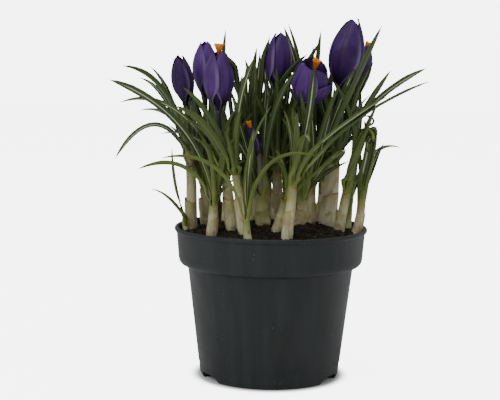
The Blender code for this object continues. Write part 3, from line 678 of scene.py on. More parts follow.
def spread_leaves():
    """Leaves lean apart until every one clears its neighbours, the sheaths and the flowers."""
    routes, widths, owner = [], [], []
    t = np.linspace(0, 1, ROUTE)
    for shoot in SHOOTS:
        for leaf, bearing in zip(shoot.leaves, leaf_bearings(shoot)):
            routes.append(leaf_route(shoot, leaf, bearing))
            widths.append(leaf_half_width(leaf, t))
            owner.append(int(shoot.name))
    routes, widths, owner = np.array(routes), np.array(widths), np.array(owner)
    count = len(routes)
    leaf_of = np.repeat(np.arange(count), ROUTE)
    group = owner[leaf_of]
    half = widths.reshape(-1)
    along = np.linalg.norm(np.diff(routes, axis=1), axis=2).cumsum(axis=1)
    along = np.concatenate([np.zeros((count, 1)), along], axis=1).reshape(-1)
    balls = obstacles()
    sister = group[:, None] == group[None, :]
    ramp = 0.35 + 0.65 * np.clip((along[:, None] + along[None, :]) / SISTERS_CLOSE, 0, 1)
    need = half[:, None] + half[None, :] + CLEARANCE
    need = np.where(sister, need * ramp, need)
    need[leaf_of[:, None] >= leaf_of[None, :]] = 0
    need = need.astype(np.float32)
    own_ball = group[:, None] == balls[None, :, 4]
    ball_need = balls[None, :, 3] + np.where(own_ball, OWN_ROOM, half[:, None] + CLEARANCE)
    start = np.clip(along / HELD, 0, 1)[:, None]
    centre = balls[:, :3]
    for _ in range(ROUNDS):
        points = routes.reshape(-1, 3)
        push = np.zeros_like(points)
        distance = distances(points, points)
        one, other = np.nonzero(distance < need)
        away = (points[one] - points[other]) / distance[one, other][:, None]
        size = 0.5 * (need[one, other] - distance[one, other])[:, None]
        np.add.at(push, one, away * size)
        np.add.at(push, other, -away * size)
        distance = distances(points, centre)
        leaf_at, ball = np.nonzero(distance < ball_need)
        away = (points[leaf_at] - centre[ball]) / distance[leaf_at, ball][:, None]
        size = (ball_need[leaf_at, ball] - distance[leaf_at, ball])[:, None]
        np.add.at(push, leaf_at, away * size)
        push = (np.clip(push, -PUSH_LIMIT, PUSH_LIMIT) * start).reshape(count, ROUTE, 3)
        for _ in range(PUSH_EVENINGS):
            middle = (push[:, :-2] + 2 * push[:, 1:-1] + push[:, 2:]) / 4
            end = (push[:, -2] + push[:, -1])[:, None] / 2
            push = np.concatenate([push[:, :1] * 0, middle, end], axis=1)
        routes = routes + PUSH_SHARE * push
    spread, at = {}, 0
    for shoot in SHOOTS:
        spread[shoot.name] = routes[at:at + len(shoot.leaves)]
        at += len(shoot.leaves)
    return spread


spread = spread_leaves()


# ---------------------------------------------------------------- sheaths
# Each shoot comes up through dry papery sheaths, one inside the other: an outer one that ends in a
# torn brown rim part of the way up, and a longer inner one that shows the green of the leaves.


def sheet(name, columns, rows, place, finishes, thickness=0.0, rolled=False):
    """A flat sheet laid over a shape: place(u, v) is a point in millimetres, u across and v along."""
    deselect()
    bpy.ops.mesh.primitive_grid_add(x_subdivisions=columns, y_subdivisions=rows, size=1)
    piece = bpy.context.object
    piece.name = name
    for vertex in piece.data.vertices:
        vertex.co = Vector([float(c) * MM for c in place(vertex.co.x + 0.5, vertex.co.y + 0.5)])
    if rolled:
        bpy.ops.object.mode_set(mode="EDIT")
        bpy.ops.mesh.select_all(action="SELECT")
        bpy.ops.mesh.remove_doubles(threshold=1e-6)
        bpy.ops.object.mode_set(mode="OBJECT")
    bpy.ops.object.shade_smooth()
    for finish in finishes:
        piece.data.materials.append(finish)
    if thickness:
        skin = piece.modifiers.new("skin", "SOLIDIFY")
        skin.thickness = thickness * MM
        skin.offset = -1
        skin.material_offset = skin.material_offset_rim = len(finishes) - 1
        apply_all(piece)
    return piece


def eased(value):
    """A smooth step from 0 to 1."""
    value = min(max(value, 0), 1)
    return value * value * (3 - 2 * value)


def new_group(name, vector, numbers, output):
    """An empty shader node group with a vector and some numbers going in and one number coming out."""
    group = bpy.data.node_groups.new(name, "ShaderNodeTree")
    group.interface.new_socket(vector, in_out="INPUT", socket_type="NodeSocketVector")
    for label in numbers:
        group.interface.new_socket(label, in_out="INPUT", socket_type="NodeSocketFloat")
    group.interface.new_socket(output, in_out="OUTPUT", socket_type="NodeSocketFloat")
    return group, group.nodes.new("NodeGroupInput"), group.nodes.new("NodeGroupOutput")


def grown_lines_group():
    """Fine lines that run the length of a sheath, leaf or petal, from the piece's own UV."""
    group, given, result = new_group("grown_lines", "Along", ("Count", "Waves"), "Lines")
    stretch = group.nodes.new("ShaderNodeCombineXYZ")
    group.links.new(given.outputs["Count"], stretch.inputs[0])
    group.links.new(given.outputs["Waves"], stretch.inputs[1])
    spaced = group.nodes.new("ShaderNodeVectorMath")
    spaced.operation = "MULTIPLY"
    group.links.new(given.outputs["Along"], spaced.inputs[0])
    group.links.new(stretch.outputs[0], spaced.inputs[1])
    group.links.new(speckle(group, spaced.outputs[0], 1.0, 3), result.inputs["Lines"])
    return group


def blotches_group():
    """Soft-edged patches of one size, for stains, bruises and bloom."""
    group, given, result = new_group("blotches", "Place", ("Size", "Cover"), "Patch")
    cloud = group.nodes.new("ShaderNodeTexNoise")
    cloud.inputs["Detail"].default_value = 4
    group.links.new(given.outputs["Place"], cloud.inputs["Vector"])
    group.links.new(given.outputs["Size"], cloud.inputs["Scale"])
    edge = combined(group, "SUBTRACT", 0.95, given.outputs["Cover"])
    above = combined(group, "SUBTRACT", cloud.outputs["Fac"], edge)
    group.links.new(stepped(group, above, 0.0, 0.14), result.inputs["Patch"])
    return group


GROWN_LINES, BLOTCHES = grown_lines_group(), blotches_group()


def grouped(tree, group, vector, numbers):
    """Use a node group of one vector and some numbers, and return what comes out."""
    node = tree.nodes.new("ShaderNodeGroup")
    node.node_tree = group
    tree.links.new(vector, node.inputs[0])
    for socket, value in zip(node.inputs[1:], numbers):
        socket.default_value = value
    return node.outputs[0]


def grown_lines(tree, along, count, waves):
    return grouped(tree, GROWN_LINES, along, (count, waves))


def blotches(tree, place, size, cover):
    return grouped(tree, BLOTCHES, place, (size, cover))


def sheet_coordinates(tree):
    """The UV map of a sheet, and its two numbers: across and along."""
    coordinates = tree.nodes.new("ShaderNodeUVMap").outputs[0]
    split = tree.nodes.new("ShaderNodeSeparateXYZ")
    tree.links.new(coordinates, split.inputs[0])
    return coordinates, split.outputs[0], split.outputs[1]


SHEATH_COLUMNS, SHEATH_ROWS, SHEATH_SKIN = 30, 28, 0.22
BOW = 0.7                                         # how far a sheath bows sideways half way up
BELLY, BELLY_AT, BELLY_SPREAD = 0.08, 0.08, 0.13  # it is a little fatter just above the soil
NARROWING = 0.15                                  # and narrower over its upper half
LAYER_FOOT, INNER_SWELL, OUTER_SWELL = -0.12, 0.93, 1.03
INNER_RAGGED, OUTER_RAGGED = 2.6, 1.6             # how uneven the torn rims are
OUTER_LEAST, OUTER_MORE = 0.40, 0.25              # how far up its shoot an outer layer reaches


def sheath_layer(shoot, name, low, high, swell, ragged, seed, finish):
    """One rolled papery layer, from one share of the shoot's height to another."""
    foot, mouth = shoot_axis(shoot)
    chance = random.Random(seed)
    slant = chance.uniform(0, 2 * math.pi)
    bow = np.array([chance.uniform(-BOW, BOW), chance.uniform(-BOW, BOW), 0])

    def place(u, v):
        angle = 2 * math.pi * u
        share = low + (high - low) * v
        centre = foot + (mouth - foot) * share + bow * math.sin(math.pi * min(max(share, 0), 1))
        rim = v ** 6 * ragged * (math.cos(angle - slant) + 0.8 * noise.noise(
            Vector((3 * math.cos(angle), 3 * math.sin(angle), seed))))
        belly = 1.0 + BELLY * math.exp(-((share - BELLY_AT) / BELLY_SPREAD) ** 2)
        belly -= NARROWING * eased((share - 0.45) / 0.55)
        folds = 0.020 * math.sin(5 * angle + seed) + 0.022 * math.sin(11 * angle + 2 * seed)
        lumps = 0.07 * noise.noise(Vector((math.cos(angle), math.sin(angle), share * 4 + seed * 1.7)))
        tuck = 1 - 0.05 * v ** 10
        radius = shoot.radius * swell * (belly + folds + lumps) * tuck
        return centre[0] + radius * math.cos(angle), centre[1] + radius * math.sin(angle), centre[2] + rim

    layer = sheet(name, SHEATH_COLUMNS, SHEATH_ROWS, place, [finish], SHEATH_SKIN, rolled=True)
    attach(layer, "root")
    return layer


SOIL_STAIN = (0.060, 0.034, 0.018)


def papery(name, pale, deep, stain, top_tint, stained, tinted_from=0.45):
    """Dry cream skin with fine lengthwise lines, brown stains, a brown torn rim and green showing through."""
    finish, tree, shader = new_material(name, pale, 0.5)
    place = object_place(tree)
    coordinates, _, height = sheet_coordinates(tree)
    lines = grown_lines(tree, coordinates, 46, 1.6)
    palest = tuple(min(1.2 * part, 0.95) for part in pale)
    splashes = combined(tree, "ADD", product(tree, blotches(tree, place, 210, 0.47), 0.8), 0.12)
    base = layered(tree, pale, [
        (stepped(tree, lines, 0.38, 0.66), deep),
        (product(tree, blotches(tree, place, 120, 0.47), 0.6 * stained), stain),
        (product(tree, blotches(tree, place, 60, 0.44), 0.35), deep),
        (stepped(tree, height, 0.5, 0.16, 0, 0.45), palest),
        (stepped(tree, height, tinted_from, 1.0, 0, 0.92), top_tint),
        (product(tree, stepped(tree, height, 0.94, 0.985), 0.75), stain),
        (product(tree, stepped(tree, height, 0.34, 0.10), splashes), SOIL_STAIN)])
    clouds = speckle(tree, place, 150, 4)
    painted(tree, shader, base, stepped(tree, clouds, 0.3, 0.7, 0.38, 0.62), 0.12, (0.0025, 0.002, 0.001))
    roughen(tree, shader, combined(tree, "ADD", lines, clouds), 0.4, 0.0006)
    return finish


TAN, UMBER = (0.27, 0.135, 0.040), (0.05, 0.027, 0.014)
CREAM_INNER = papery("cream_inner", (0.62, 0.59, 0.35), (0.40, 0.37, 0.17), TAN, (0.20, 0.225, 0.060), 0.8, 0.5)
CREAM_OUTER = papery("cream_outer", (0.62, 0.59, 0.37), (0.35, 0.31, 0.14), TAN, (0.38, 0.34, 0.13), 1.0)
FRESH = papery("fresh_sheath", (0.52, 0.50, 0.25), (0.36, 0.35, 0.13), (0.22, 0.14, 0.04),
               (0.17, 0.21, 0.04), 0.5, 0.2)
# A paler copy of the outer cream skin for the tall sheaths 16 and 17 at the back right: painted light, for the
# light from the right that falls on them. Its stains are the sheath's own.
CREAM_PAINTED_LIT = papery("bright_outer", (0.95, 0.92, 0.66), (0.64, 0.58, 0.34), (0.38, 0.20, 0.070),
                      (0.58, 0.49, 0.26), 1.1)
BROWN_INNER = papery("brown_inner", (0.16, 0.11, 0.055), (0.09, 0.055, 0.028), UMBER, (0.10, 0.085, 0.035), 0.6)
BROWN_OUTER = papery("brown_outer", (0.19, 0.12, 0.055), (0.10, 0.055, 0.026), UMBER, (0.12, 0.075, 0.035), 0.8)
# Sheaths 16 and 17 wear the paler, painted-lit copy of the cream skin.
SHEATH_SKINS = {"04": (BROWN_INNER, BROWN_OUTER), "09": (FRESH, FRESH), "16": (CREAM_PAINTED_LIT, CREAM_PAINTED_LIT),
                "17": (CREAM_PAINTED_LIT, CREAM_PAINTED_LIT)}

# Thin shoots that fill the middle of the clump, where they can only be glimpsed.
HIDDEN_SHOOTS = [
    Shoot("24", (-2, 30), (-2, 31, 118), 3.2, []),
    Shoot("25", (11, 34), (10, 35, 122), 3.0, []),
    Shoot("26", (-38, 31), (-39, 31, 116), 2.8, []),
    Shoot("27", (-28, 13), (-28, 12, 119), 3.0, []),
    Shoot("28", (25, 10), (26, 10, 120), 3.2, []),
]

for shoot in SHOOTS + HIDDEN_SHOOTS:
    if shoot.name in BARE_SHOOTS:
        continue
    seed = int(shoot.name)
    inner_skin, outer_skin = SHEATH_SKINS.get(shoot.name, (CREAM_INNER, CREAM_OUTER))
    shorter = OUTER_LEAST + OUTER_MORE * random.Random(seed).random()
    inner = sheath_layer(shoot, f"sheath_inner_{shoot.name}", LAYER_FOOT, 1.0, INNER_SWELL, INNER_RAGGED,
                         seed, inner_skin)
    outer = sheath_layer(shoot, f"sheath_outer_{shoot.name}", LAYER_FOOT, shorter, OUTER_SWELL,
                         OUTER_RAGGED, seed + 40, outer_skin)
    if shoot in SHOOTS:
        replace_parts(inner, f"sheath_{shoot.name}")

# ---------------------------------------------------------------- leaves
# Long narrow blades, folded along a white midrib that shows on the upper face only: pale where they leave the
# sheath, then yellow-green, then dark green, and brighter where they are young and low; leaves towards the back
# of the clump are kept darker, a painted shade.

BLADE_COLUMNS, BLADE_ROWS, BLADE_SKIN = 6, 24, 0.38
TIP = 15.0                                # how long a blade takes to come to its point
SUNK = 9.0                                # how far a blade's foot goes down inside the sheath
BROADER = 1.16                            # a blade spread flat, against its breadth in the plan
BUNDLE = 0.70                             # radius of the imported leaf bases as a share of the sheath's
CHANNEL, CREASE = 1.5, 0.16               # a blade's channel radius and fold, against half its breadth
# Where along a blade each change starts and how long it takes, as shares of its length: coming free
# of its shoot, turning to its heading, turning its face out, and rolling over.
FREED, TURNED, FACED, ROLLED = (0.10, 0.28), (0.08, 0.5), (0.14, 0.4), (0.12, 0.6)
DARK_GREEN, BRIGHT_GREEN = (0.030, 0.054, 0.0130), (0.150, 0.196, 0.027)
BLADE_FOOT, BLADE_LOW, MIDRIB = (0.38, 0.36, 0.13), (0.185, 0.225, 0.030), (0.52, 0.56, 0.41)


def keep_tone(piece, tone):
    """Write how pale a blade or petal is on its points, for its material to read."""
    mark = piece.data.attributes.new("tone", "FLOAT", "POINT")
    mark.data.foreach_set("value", [tone] * len(piece.data.vertices))


def written_tone(tree):
    """The tone that keep_tone wrote, for a material."""
    tone = tree.nodes.new("ShaderNodeAttribute")
    tone.attribute_name = "tone"
    return tone.outputs["Fac"]


def along_path(path):
    """Return a function that gives the point and the direction at a share of a path's length."""
    path = np.array(path, float)
    reach = np.concatenate([[0], np.linalg.norm(np.diff(path, axis=0), axis=1).cumsum()])

    def at(share):
        here, near = share * reach[-1], 0.02 * reach[-1]
        point, low, high = (np.array([np.interp(place, reach, path[:, k]) for k in range(3)])
                            for place in (here, max(here - near, 0), min(here + near, reach[-1])))
        return point, unit(high - low)

    return at


def leaf_skin(name, striped):
    """Leaf surface: colour along the blade from its UV, a white stripe on the upper face, fine veins."""
    finish, tree, shader = new_material(name, (0.05, 0.09, 0.02), 0.42)
    place = object_place(tree)
    coordinates, across, along = sheet_coordinates(tree)
    veins = grown_lines(tree, coordinates, 34, 0.8)
    green = layered(tree, DARK_GREEN, [
        (written_tone(tree), BRIGHT_GREEN),
        (product(tree, blotches(tree, place, 60, 0.48), 0.45), (0.060, 0.078, 0.011)),
        (stepped(tree, veins, 0.45, 0.7, 0, 0.4), (0.090, 0.120, 0.020))])
    low = mixed(tree, stepped(tree, along, 0.0, 0.16), BLADE_FOOT, BLADE_LOW)
    base = mixed(tree, stepped(tree, along, 0.10, 0.40), low, green)
    middle = combined(tree, "ABSOLUTE", combined(tree, "SUBTRACT", across, 0.5))
    if striped:
        stripe = product(tree, stepped(tree, middle, 0.115, 0.06), stepped(tree, along, 0.98, 0.86, 0, 0.8))
        base = mixed(tree, stripe, base, MIDRIB)
    else:
        keel, edge = stepped(tree, middle, 0.11, 0.04, 0, 0.6), stepped(tree, middle, 0.40, 0.49, 0, 0.35)
        base = layered(tree, base, [(keel, (0.15, 0.19, 0.085)), (edge, (0.13, 0.17, 0.045))])
    base = mixed(tree, stepped(tree, along, 0.965, 1.0, 0, 0.7), base, (0.050, 0.036, 0.014))
    clouds = speckle(tree, place, 60, 3)
    painted(tree, shader, base, stepped(tree, clouds, 0.3, 0.7, 0.36, 0.52), 0.06, (0.001, 0.002, 0.0005))
    shader.inputs["Specular IOR Level"].default_value = 0.35
    roughen(tree, shader, veins, 0.25, 0.0003)
    return finish


LEAF_UNDER = leaf_skin("leaf_under", False)
LEAF_UPPER = leaf_skin("leaf_upper", True)


FRONT = np.array([0.0, 1.0, 0.0])         # the way into the clump from its open side


def crosswise(ahead, angle):
    """The level direction across a blade that leans out at an angle, squared to where it is going."""
    side = np.array([-math.sin(angle), math.cos(angle), 0.0])
    side -= ahead * side.dot(ahead)
    return side / max(np.linalg.norm(side), 1e-6)


def eased_over(value, start, length):
    return eased((value - start) / length)


def blade(name, path, bearing, heading, half_at, ring, moved, tone, roll, turned_out):
    """One leaf along a path: wrapped round its shoot's bundle at the foot, a shallow channel beyond."""
    at = along_path(path)
    outward = np.array([math.cos(bearing), math.sin(bearing), 0.0])
    _, midway = at(0.5)
    way = 1 if crosswise(midway, heading).dot(np.cross(midway, FRONT)) > 0 else -1

    def place(u, v):
        point, ahead = at(v)
        free = eased_over(v, *FREED)
        point = point + outward * moved * (1 - free)
        turned = eased_over(v, *TURNED)
        angle = bearing * (1 - turned) + heading * turned
        weight = turned_out * eased_over(v, *FACED)
        side = crosswise(ahead, angle) * (1 - weight) + way * np.cross(ahead, FRONT) * weight
        side /= max(np.linalg.norm(side), 1e-6)
        inner = np.cross(ahead, side)
        turn = roll * eased_over(v, *ROLLED)
        side, inner = (side * math.cos(turn) + inner * math.sin(turn),
                       inner * math.cos(turn) - side * math.sin(turn))
        half = half_at(v)
        across = 2 * u - 1
        curve = ring * (1 - free) + max(CHANNEL * half, 0.3) * free
        bend = across * half / curve
        fold = curve * (1 - math.cos(bend)) + CREASE * half * abs(across) * free
        return point + side * curve * math.sin(bend) + inner * fold

    made = sheet(name, BLADE_COLUMNS, BLADE_ROWS, place, [LEAF_UNDER, LEAF_UPPER], BLADE_SKIN)
    keep_tone(made, tone)
    return made


def near_angle(angle, other):
    """The same angle, whole turns away, that is nearest to another."""
    return other + (angle - other + math.pi) % (2 * math.pi) - math.pi


DARK_FROM = 186                           # leaves whose tips are higher than this are all dark
AT_THE_FRONT = -35                        # shoots nearer to the viewer than this
FACE_FRONT, FACE_WITHIN = (0.1, 0.3), (0.35, 0.85)        # how far their leaves turn their faces out


def leaf_blade(shoot, number, leaf, bearing, route, sisters):
    """A leaf of the plan, with its foot carried on down inside the sheath."""
    foot, mouth = shoot_axis(shoot)
    axis = unit(mouth - foot)
    tail = [route[0] - axis * SUNK * share for share in (1.0, 0.75, 0.5, 0.25)]
    path = np.array(tail + list(route))
    chance = random.Random(f"{shoot.name}-{number}")
    total = SUNK + np.linalg.norm(np.diff(route, axis=0), axis=1).sum()
    ring = BUNDLE * shoot.radius
    wrapped = ring * math.pi / sisters * 1.25

    def half_at(v):
        t = max((v * total - SUNK) / (total - SUNK), 0)
        full = 0.5 * BROADER * leaf.width * min(1, (max(1 - t, 0) * (total - SUNK) / TIP) ** 0.6)
        return max(full + (wrapped - full) * (1 - eased((v - 0.06) / 0.3)) * (1 if v < 0.5 else 0), 0.08)

    heading = near_angle(math.atan2(route[-1][1] - route[0][1], route[-1][0] - route[0][0]), bearing)
    # A blade is a brighter green the lower its tip reaches; leaves towards the back of the clump keep only a
    # small share of that brightness, a painted shade.
    low = np.clip((DARK_FROM - leaf.tip[2]) / 55, 0, 1) * np.clip((8 - leaf.tip[1]) / 30, 0.15, 1)
    tone = float(np.clip(0.08 + 0.85 * low + chance.uniform(-0.08, 0.12), 0, 1))
    roll = chance.uniform(-0.4, 0.4)
    turned_out = chance.uniform(*(FACE_FRONT if shoot.mouth[1] < AT_THE_FRONT else FACE_WITHIN))
    return blade(f"leaf_{shoot.name}_{number}", path, bearing, heading, half_at, ring,
                 ring - ring_radius(shoot), tone, roll, turned_out)


# How many young leaves a shoot has, how far their tips spread, how tall they grow and how high a tip
# may reach: for the shoots within the clump, and for those along its front edge.
YOUNG_WITHIN, YOUNG_FRONT = (12, 32, 80, 196), (4, 18, 54, 168)
YOUNG_LEAVES = {"01": 3, "09": 1, "21": 0, "18": 2, "19": 1, "20": 2, "07": 1, "06": 2}


def young_leaves(shoot):
    """The shorter leaves that stand up in the middle of a shoot: a plan and a bearing for each."""
    chance = random.Random(f"young-{shoot.name}")
    made = []
    behind = shoot.mouth[1] > -15 and shoot.name != "01"
    count, farthest, tallest, ceiling = YOUNG_WITHIN if behind else YOUNG_FRONT
    for number in range(YOUNG_LEAVES.get(shoot.name, count)):
        bearing = chance.uniform(-math.pi, math.pi)
        reach, height = chance.uniform(4, farthest), chance.uniform(30, tallest)
        if number % 3 == 2:
            height = chance.uniform(14, 32)
        tip = (shoot.mouth[0] + reach * math.cos(bearing), shoot.mouth[1] + reach * math.sin(bearing),
               min(shoot.mouth[2] + height, ceiling))
        made.append((Leaf(tip, 0.55 * height, 0.12, chance.uniform(2.8, 3.9)), bearing))
    return made


# The two shoots at the right edge have been bent: their leaves double over, and one has a thin
# withered tip.  Each leaf is its path, its breadth and its tone.
BENT_LEAVES = {
    "19": [
        ([(56, -6, 103), (57, -7, 120), (60, -8, 136), (61, -9, 147), (60, -9, 154), (62, -10, 157),
          (64, -11, 154), (63, -12, 149), (60, -12, 147), (58, -12, 150)], 5.4, 0.35),
        ([(57, -6, 103), (60, -7, 122), (62.5, -8, 136), (63.5, -8, 146), (62, -9, 151), (59, -10, 149),
          (58, -10, 144), (60, -11, 141)], 5.8, 0.45),
        ([(55, -7, 103), (55.5, -8, 124), (58, -9, 140), (59, -9, 150), (57, -9, 156), (58, -9, 159)],
         5.4, 0.2),
    ],
    "18": [
        ([(46, -9, 108), (48, -10, 124), (51, -10, 138), (54, -10, 148), (58, -10, 154), (62, -10, 152),
          (63, -11, 147)], 6.4, 0.3),
        ([(47, -8, 108), (50, -8, 124), (54, -9, 138), (57, -9, 148), (58, -9, 156), (56, -9, 161)], 5.6, 0.5),
    ],
}
WITHERED_TIP = [(62, -13, 149), (61, -14, 153), (59, -14, 155.5), (58, -14, 157.5), (61, -14, 159.5),
                (61, -14, 162), (57, -14, 164), (53, -14, 162.5), (51, -14, 158)]


def smooth_path(points, count=60):
    """A smooth path through given points (Catmull-Rom)."""
    points = [np.array(point, float) for point in points]
    points = [2 * points[0] - points[1]] + points + [2 * points[-1] - points[-2]]
    path = []
    for number in range(count):
        place = number / (count - 1) * (len(points) - 3)
        knot = min(int(place), len(points) - 4)
        t = place - knot
        a, b, c, d = points[knot:knot + 4]
        path.append(0.5 * (2 * b + (c - a) * t + (2 * a - 5 * b + 4 * c - d) * t ** 2
                           + (3 * b - a - 3 * c + d) * t ** 3))
    return np.array(path)


def bent_blades(shoot):
    """The doubled-over leaves of a bent shoot."""
    made = []
    for number, (points, width, tone) in enumerate(BENT_LEAVES.get(shoot.name, [])):
        def half_at(v, width=width):
            return max(width / 2 * min(1, (max(1 - v, 0) / 0.15) ** 0.6), 0.08)
        bearing = number - 1.6
        made.append(blade(f"bent_{shoot.name}_{number}", smooth_path(points), bearing, bearing, half_at,
                          ring=2.0, moved=0.0, tone=tone, roll=1.1, turned_out=0.3))
    if shoot.name == "19":
        made.append(blade("withered", smooth_path(WITHERED_TIP), -1.57, -1.57, lambda v: 1 - 0.5 * v,
                          ring=2.0, moved=0.0, tone=0.0, roll=0.0, turned_out=0.0))
    return made


for shoot in SHOOTS + HIDDEN_SHOOTS:
    young = young_leaves(shoot)
    sisters = len(shoot.leaves) + len(young)
    grown = zip(shoot.leaves, leaf_bearings(shoot), spread[shoot.name]) if shoot.leaves else []
    plans = list(grown) + [(leaf, bearing, leaf_route(shoot, leaf, bearing)) for leaf, bearing in young]
    blades = [leaf_blade(shoot, number, leaf, bearing, route, sisters)
              for number, (leaf, bearing, route) in enumerate(plans)] + bent_blades(shoot)
    fan = joined(f"leaf_fan_{shoot.name}", blades)
    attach(fan, "root")
    if shoot in SHOOTS:
        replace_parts(fan, f"leaves_{shoot.name}")

# ---------------------------------------------------------------- bare stems
# The young shoots have no sheath left: their packed leaf bases make a smooth pale stem, white at the
# soil and yellow-green where the leaves part.

STEM_PALE, STEM_GREEN = (0.52, 0.52, 0.28), (0.19, 0.235, 0.035)


def stem_skin():
    """Smooth packed leaf bases, with soil on the foot."""
    finish, tree, shader = new_material("leaf_bases", STEM_PALE, 0.4)
    place = object_place(tree)
    coordinates, _, along = sheet_coordinates(tree)
    lines = grown_lines(tree, coordinates, 30, 1.2)
    soiled = product(tree, stepped(tree, along, 0.3, 0.05), blotches(tree, place, 200, 0.45))
    base = layered(tree, STEM_PALE, [(stepped(tree, along, 0.2, 0.9), STEM_GREEN),
                                     (stepped(tree, lines, 0.45, 0.7, 0, 0.4), (0.17, 0.20, 0.06)),
                                     (soiled, (0.09, 0.05, 0.025))])
    painted(tree, shader, base, through=0.1, reach=(0.002, 0.002, 0.001))
    roughen(tree, shader, lines, 0.3, 0.0004)
    return finish


STEM_SKIN = stem_skin()
for shoot in SHOOTS:
    if shoot.name not in BARE_SHOOTS:
        continue
    stem = sheath_layer(shoot, f"stem_{shoot.name}", -0.15, 1.05, 0.96, 0.6, int(shoot.name) + 80, STEM_SKIN)

# ---------------------------------------------------------------- flowers
# Six overlapping petals in two rings of three on a slender tube.  Each petal is a thin cupped sheet,
# deep violet with darker veins, lilac at its margins and almost black at its foot.


PETAL_COLUMNS, PETAL_ROWS, PETAL_SKIN = 14, 20, 0.28
PETAL_FOOT, WIDEST_AT = 0.28, 0.42                # a petal's width at its foot, and where it is widest
TUBE_COLUMNS, TUBE_ROWS, TUBE_POINTS = 14, 14, 24
DROOPS_FROM, DROOP_OUT, DROOP_DOWN = 0.25, 8, 10  # how a fallen petal hangs out and down
# How pale and reddish each flower's violet is.
FLOWER_TONES = {"1": 0.05, "2": 1.05, "3": 0.6, "4": 0.4, "5": 1.15, "6": 0.15, "7": 0.25, "8": 0.2}


def square_to(ahead):
    """Two directions square to a line and to each other, the first as near to +X as it can be."""
    across = unit(np.array([1.0, 0.0, 0.0]) - ahead * ahead[0])
    return across, np.cross(ahead, across)


def cup_point(flower, t, angle, radius):
    """A point round a flower's cup, at a share of its height and a radius."""
    throat, tip = cup_ends(flower)
    across, other = square_to(unit(tip - throat))
    return throat + (tip - throat) * t + (across * math.cos(angle) + other * math.sin(angle)) * radius


def petal(name, flower, spin, radius_at, reach, spread_angle, lap, finish, fall=0.0):
    """One petal, narrow at its foot and wider than its third above, one edge over its neighbour."""
    seed = sum(map(ord, name))

    def place(u, v):
        half = spread_angle * (PETAL_FOOT + (1 - PETAL_FOOT) * eased(v / WIDEST_AT)) * (1 - v ** 7.0) ** 0.55
        across = 2 * u - 1
        radius = radius_at(reach * v) + lap * across * min(v * 3, 1)
        ruffle = 0.20 * math.sin(5 * across + seed) * v * v
        radius += ruffle + 0.30 * noise.noise(Vector((across * 1.5, v * 3, seed)))
        radius -= 0.5 * (1 - abs(across)) ** 4 * v * (1 - v)
        point = cup_point(flower, reach * v, spin + across * half, max(radius, 0.35))
        if fall:
            outward = cup_point(flower, 0, spin, 1.0) - cup_ends(flower)[0]
            droop = fall * max(v - DROOPS_FROM, 0) ** 1.5
            point = point + outward * droop * DROOP_OUT - np.array([0, 0, 1.0]) * droop * DROOP_DOWN
        return point

    made = sheet(name, PETAL_COLUMNS, PETAL_ROWS, place, [finish], PETAL_SKIN)
    keep_tone(made, FLOWER_TONES[flower.name])
    return made


def tube(name, flower, low, high, radius_at, thickness, finish, tear=0.0):
    """A rolled sheet round a flower's tube between two shares of its length."""
    at = along_path(tube_route(flower, TUBE_POINTS))

    def place(u, v):
        point, ahead = at(low + (high - low) * v)
        across, other = square_to(ahead)
        angle = 2 * math.pi * u
        edge = tear * v ** 5 * math.cos(angle + 1.2)
        return point + (across * math.cos(angle) + other * math.sin(angle)) * radius_at(v) + ahead * edge

    return sheet(name, TUBE_COLUMNS, TUBE_ROWS, place, [finish], thickness, rolled=True)


def petal_skin(name, deepest, palest, dark, margin):
    """Petal surface: silky violet, dark lengthwise veins, lilac margins, near-black foot."""
    finish, tree, shader = new_material(name, deepest, 0.42)
    place = object_place(tree)
    coordinates, across, along = sheet_coordinates(tree)
    bloom = product(tree, blotches(tree, place, 75, 0.47), 0.3)
    cloudy = combined(tree, "ADD", written_tone(tree), bloom)
    veins = grown_lines(tree, coordinates, 26, 1.3)
    side = combined(tree, "ABSOLUTE", combined(tree, "SUBTRACT", across, 0.5))
    pale = product(tree, stepped(tree, side, 0.34, 0.49), stepped(tree, along, 0.9, 0.5, 0.12, 0.85))
    centre = product(tree, stepped(tree, side, 0.06, 0.0, 0, 0.5), stepped(tree, along, 0.9, 0.6))
    foot = product(tree, stepped(tree, along, 0.36, 0.10), stepped(tree, side, 0.47, 0.36))
    base = layered(tree, deepest, [
        (cloudy, palest), (stepped(tree, veins, 0.46, 0.62, 0, 0.6), dark), (pale, margin), (centre, dark),
        (foot, (0.010, 0.005, 0.016))])
    painted(tree, shader, base, stepped(tree, veins, 0.3, 0.7, 0.40, 0.55))
    shader.inputs["Specular IOR Level"].default_value = 0.24
    shader.inputs["Sheen Weight"].default_value = 0.04
    roughen(tree, shader, veins, 0.35, 0.0003)
    return finish


def tube_skin(name, low_colour, high_colour):
    """The flower's tube: pale below, washed with violet towards the cup."""
    finish, tree, shader = new_material(name, low_colour, 0.45)
    coordinates, _, along = sheet_coordinates(tree)
    lines = grown_lines(tree, coordinates, 18, 1.5)
    higher, streaked = stepped(tree, along, 0.25, 0.85), stepped(tree, lines, 0.45, 0.65, 0, 0.45)
    painted(tree, shader, layered(tree, low_colour, [(higher, high_colour), (streaked, high_colour)]))
    roughen(tree, shader, lines, 0.25, 0.0003)
    return finish


PETAL_OUTER = petal_skin("petal_outer", (0.025, 0.0050, 0.060), (0.094, 0.030, 0.200),
                         (0.011, 0.0026, 0.032), (0.22, 0.14, 0.32))
PETAL_INNER = petal_skin("petal_inner", (0.021, 0.0045, 0.052), (0.074, 0.024, 0.165),
                         (0.009, 0.0024, 0.028), (0.16, 0.10, 0.25))
TUBE_SKIN = tube_skin("flower_tube", (0.20, 0.17, 0.19), (0.014, 0.007, 0.022))
SPATHE_SKIN = papery("spathe", (0.26, 0.23, 0.185), (0.16, 0.13, 0.10), (0.09, 0.05, 0.03),
                     (0.14, 0.105, 0.10), 0.5)

SPREAD_OUTER, SPREAD_INNER = math.radians(72), math.radians(66)
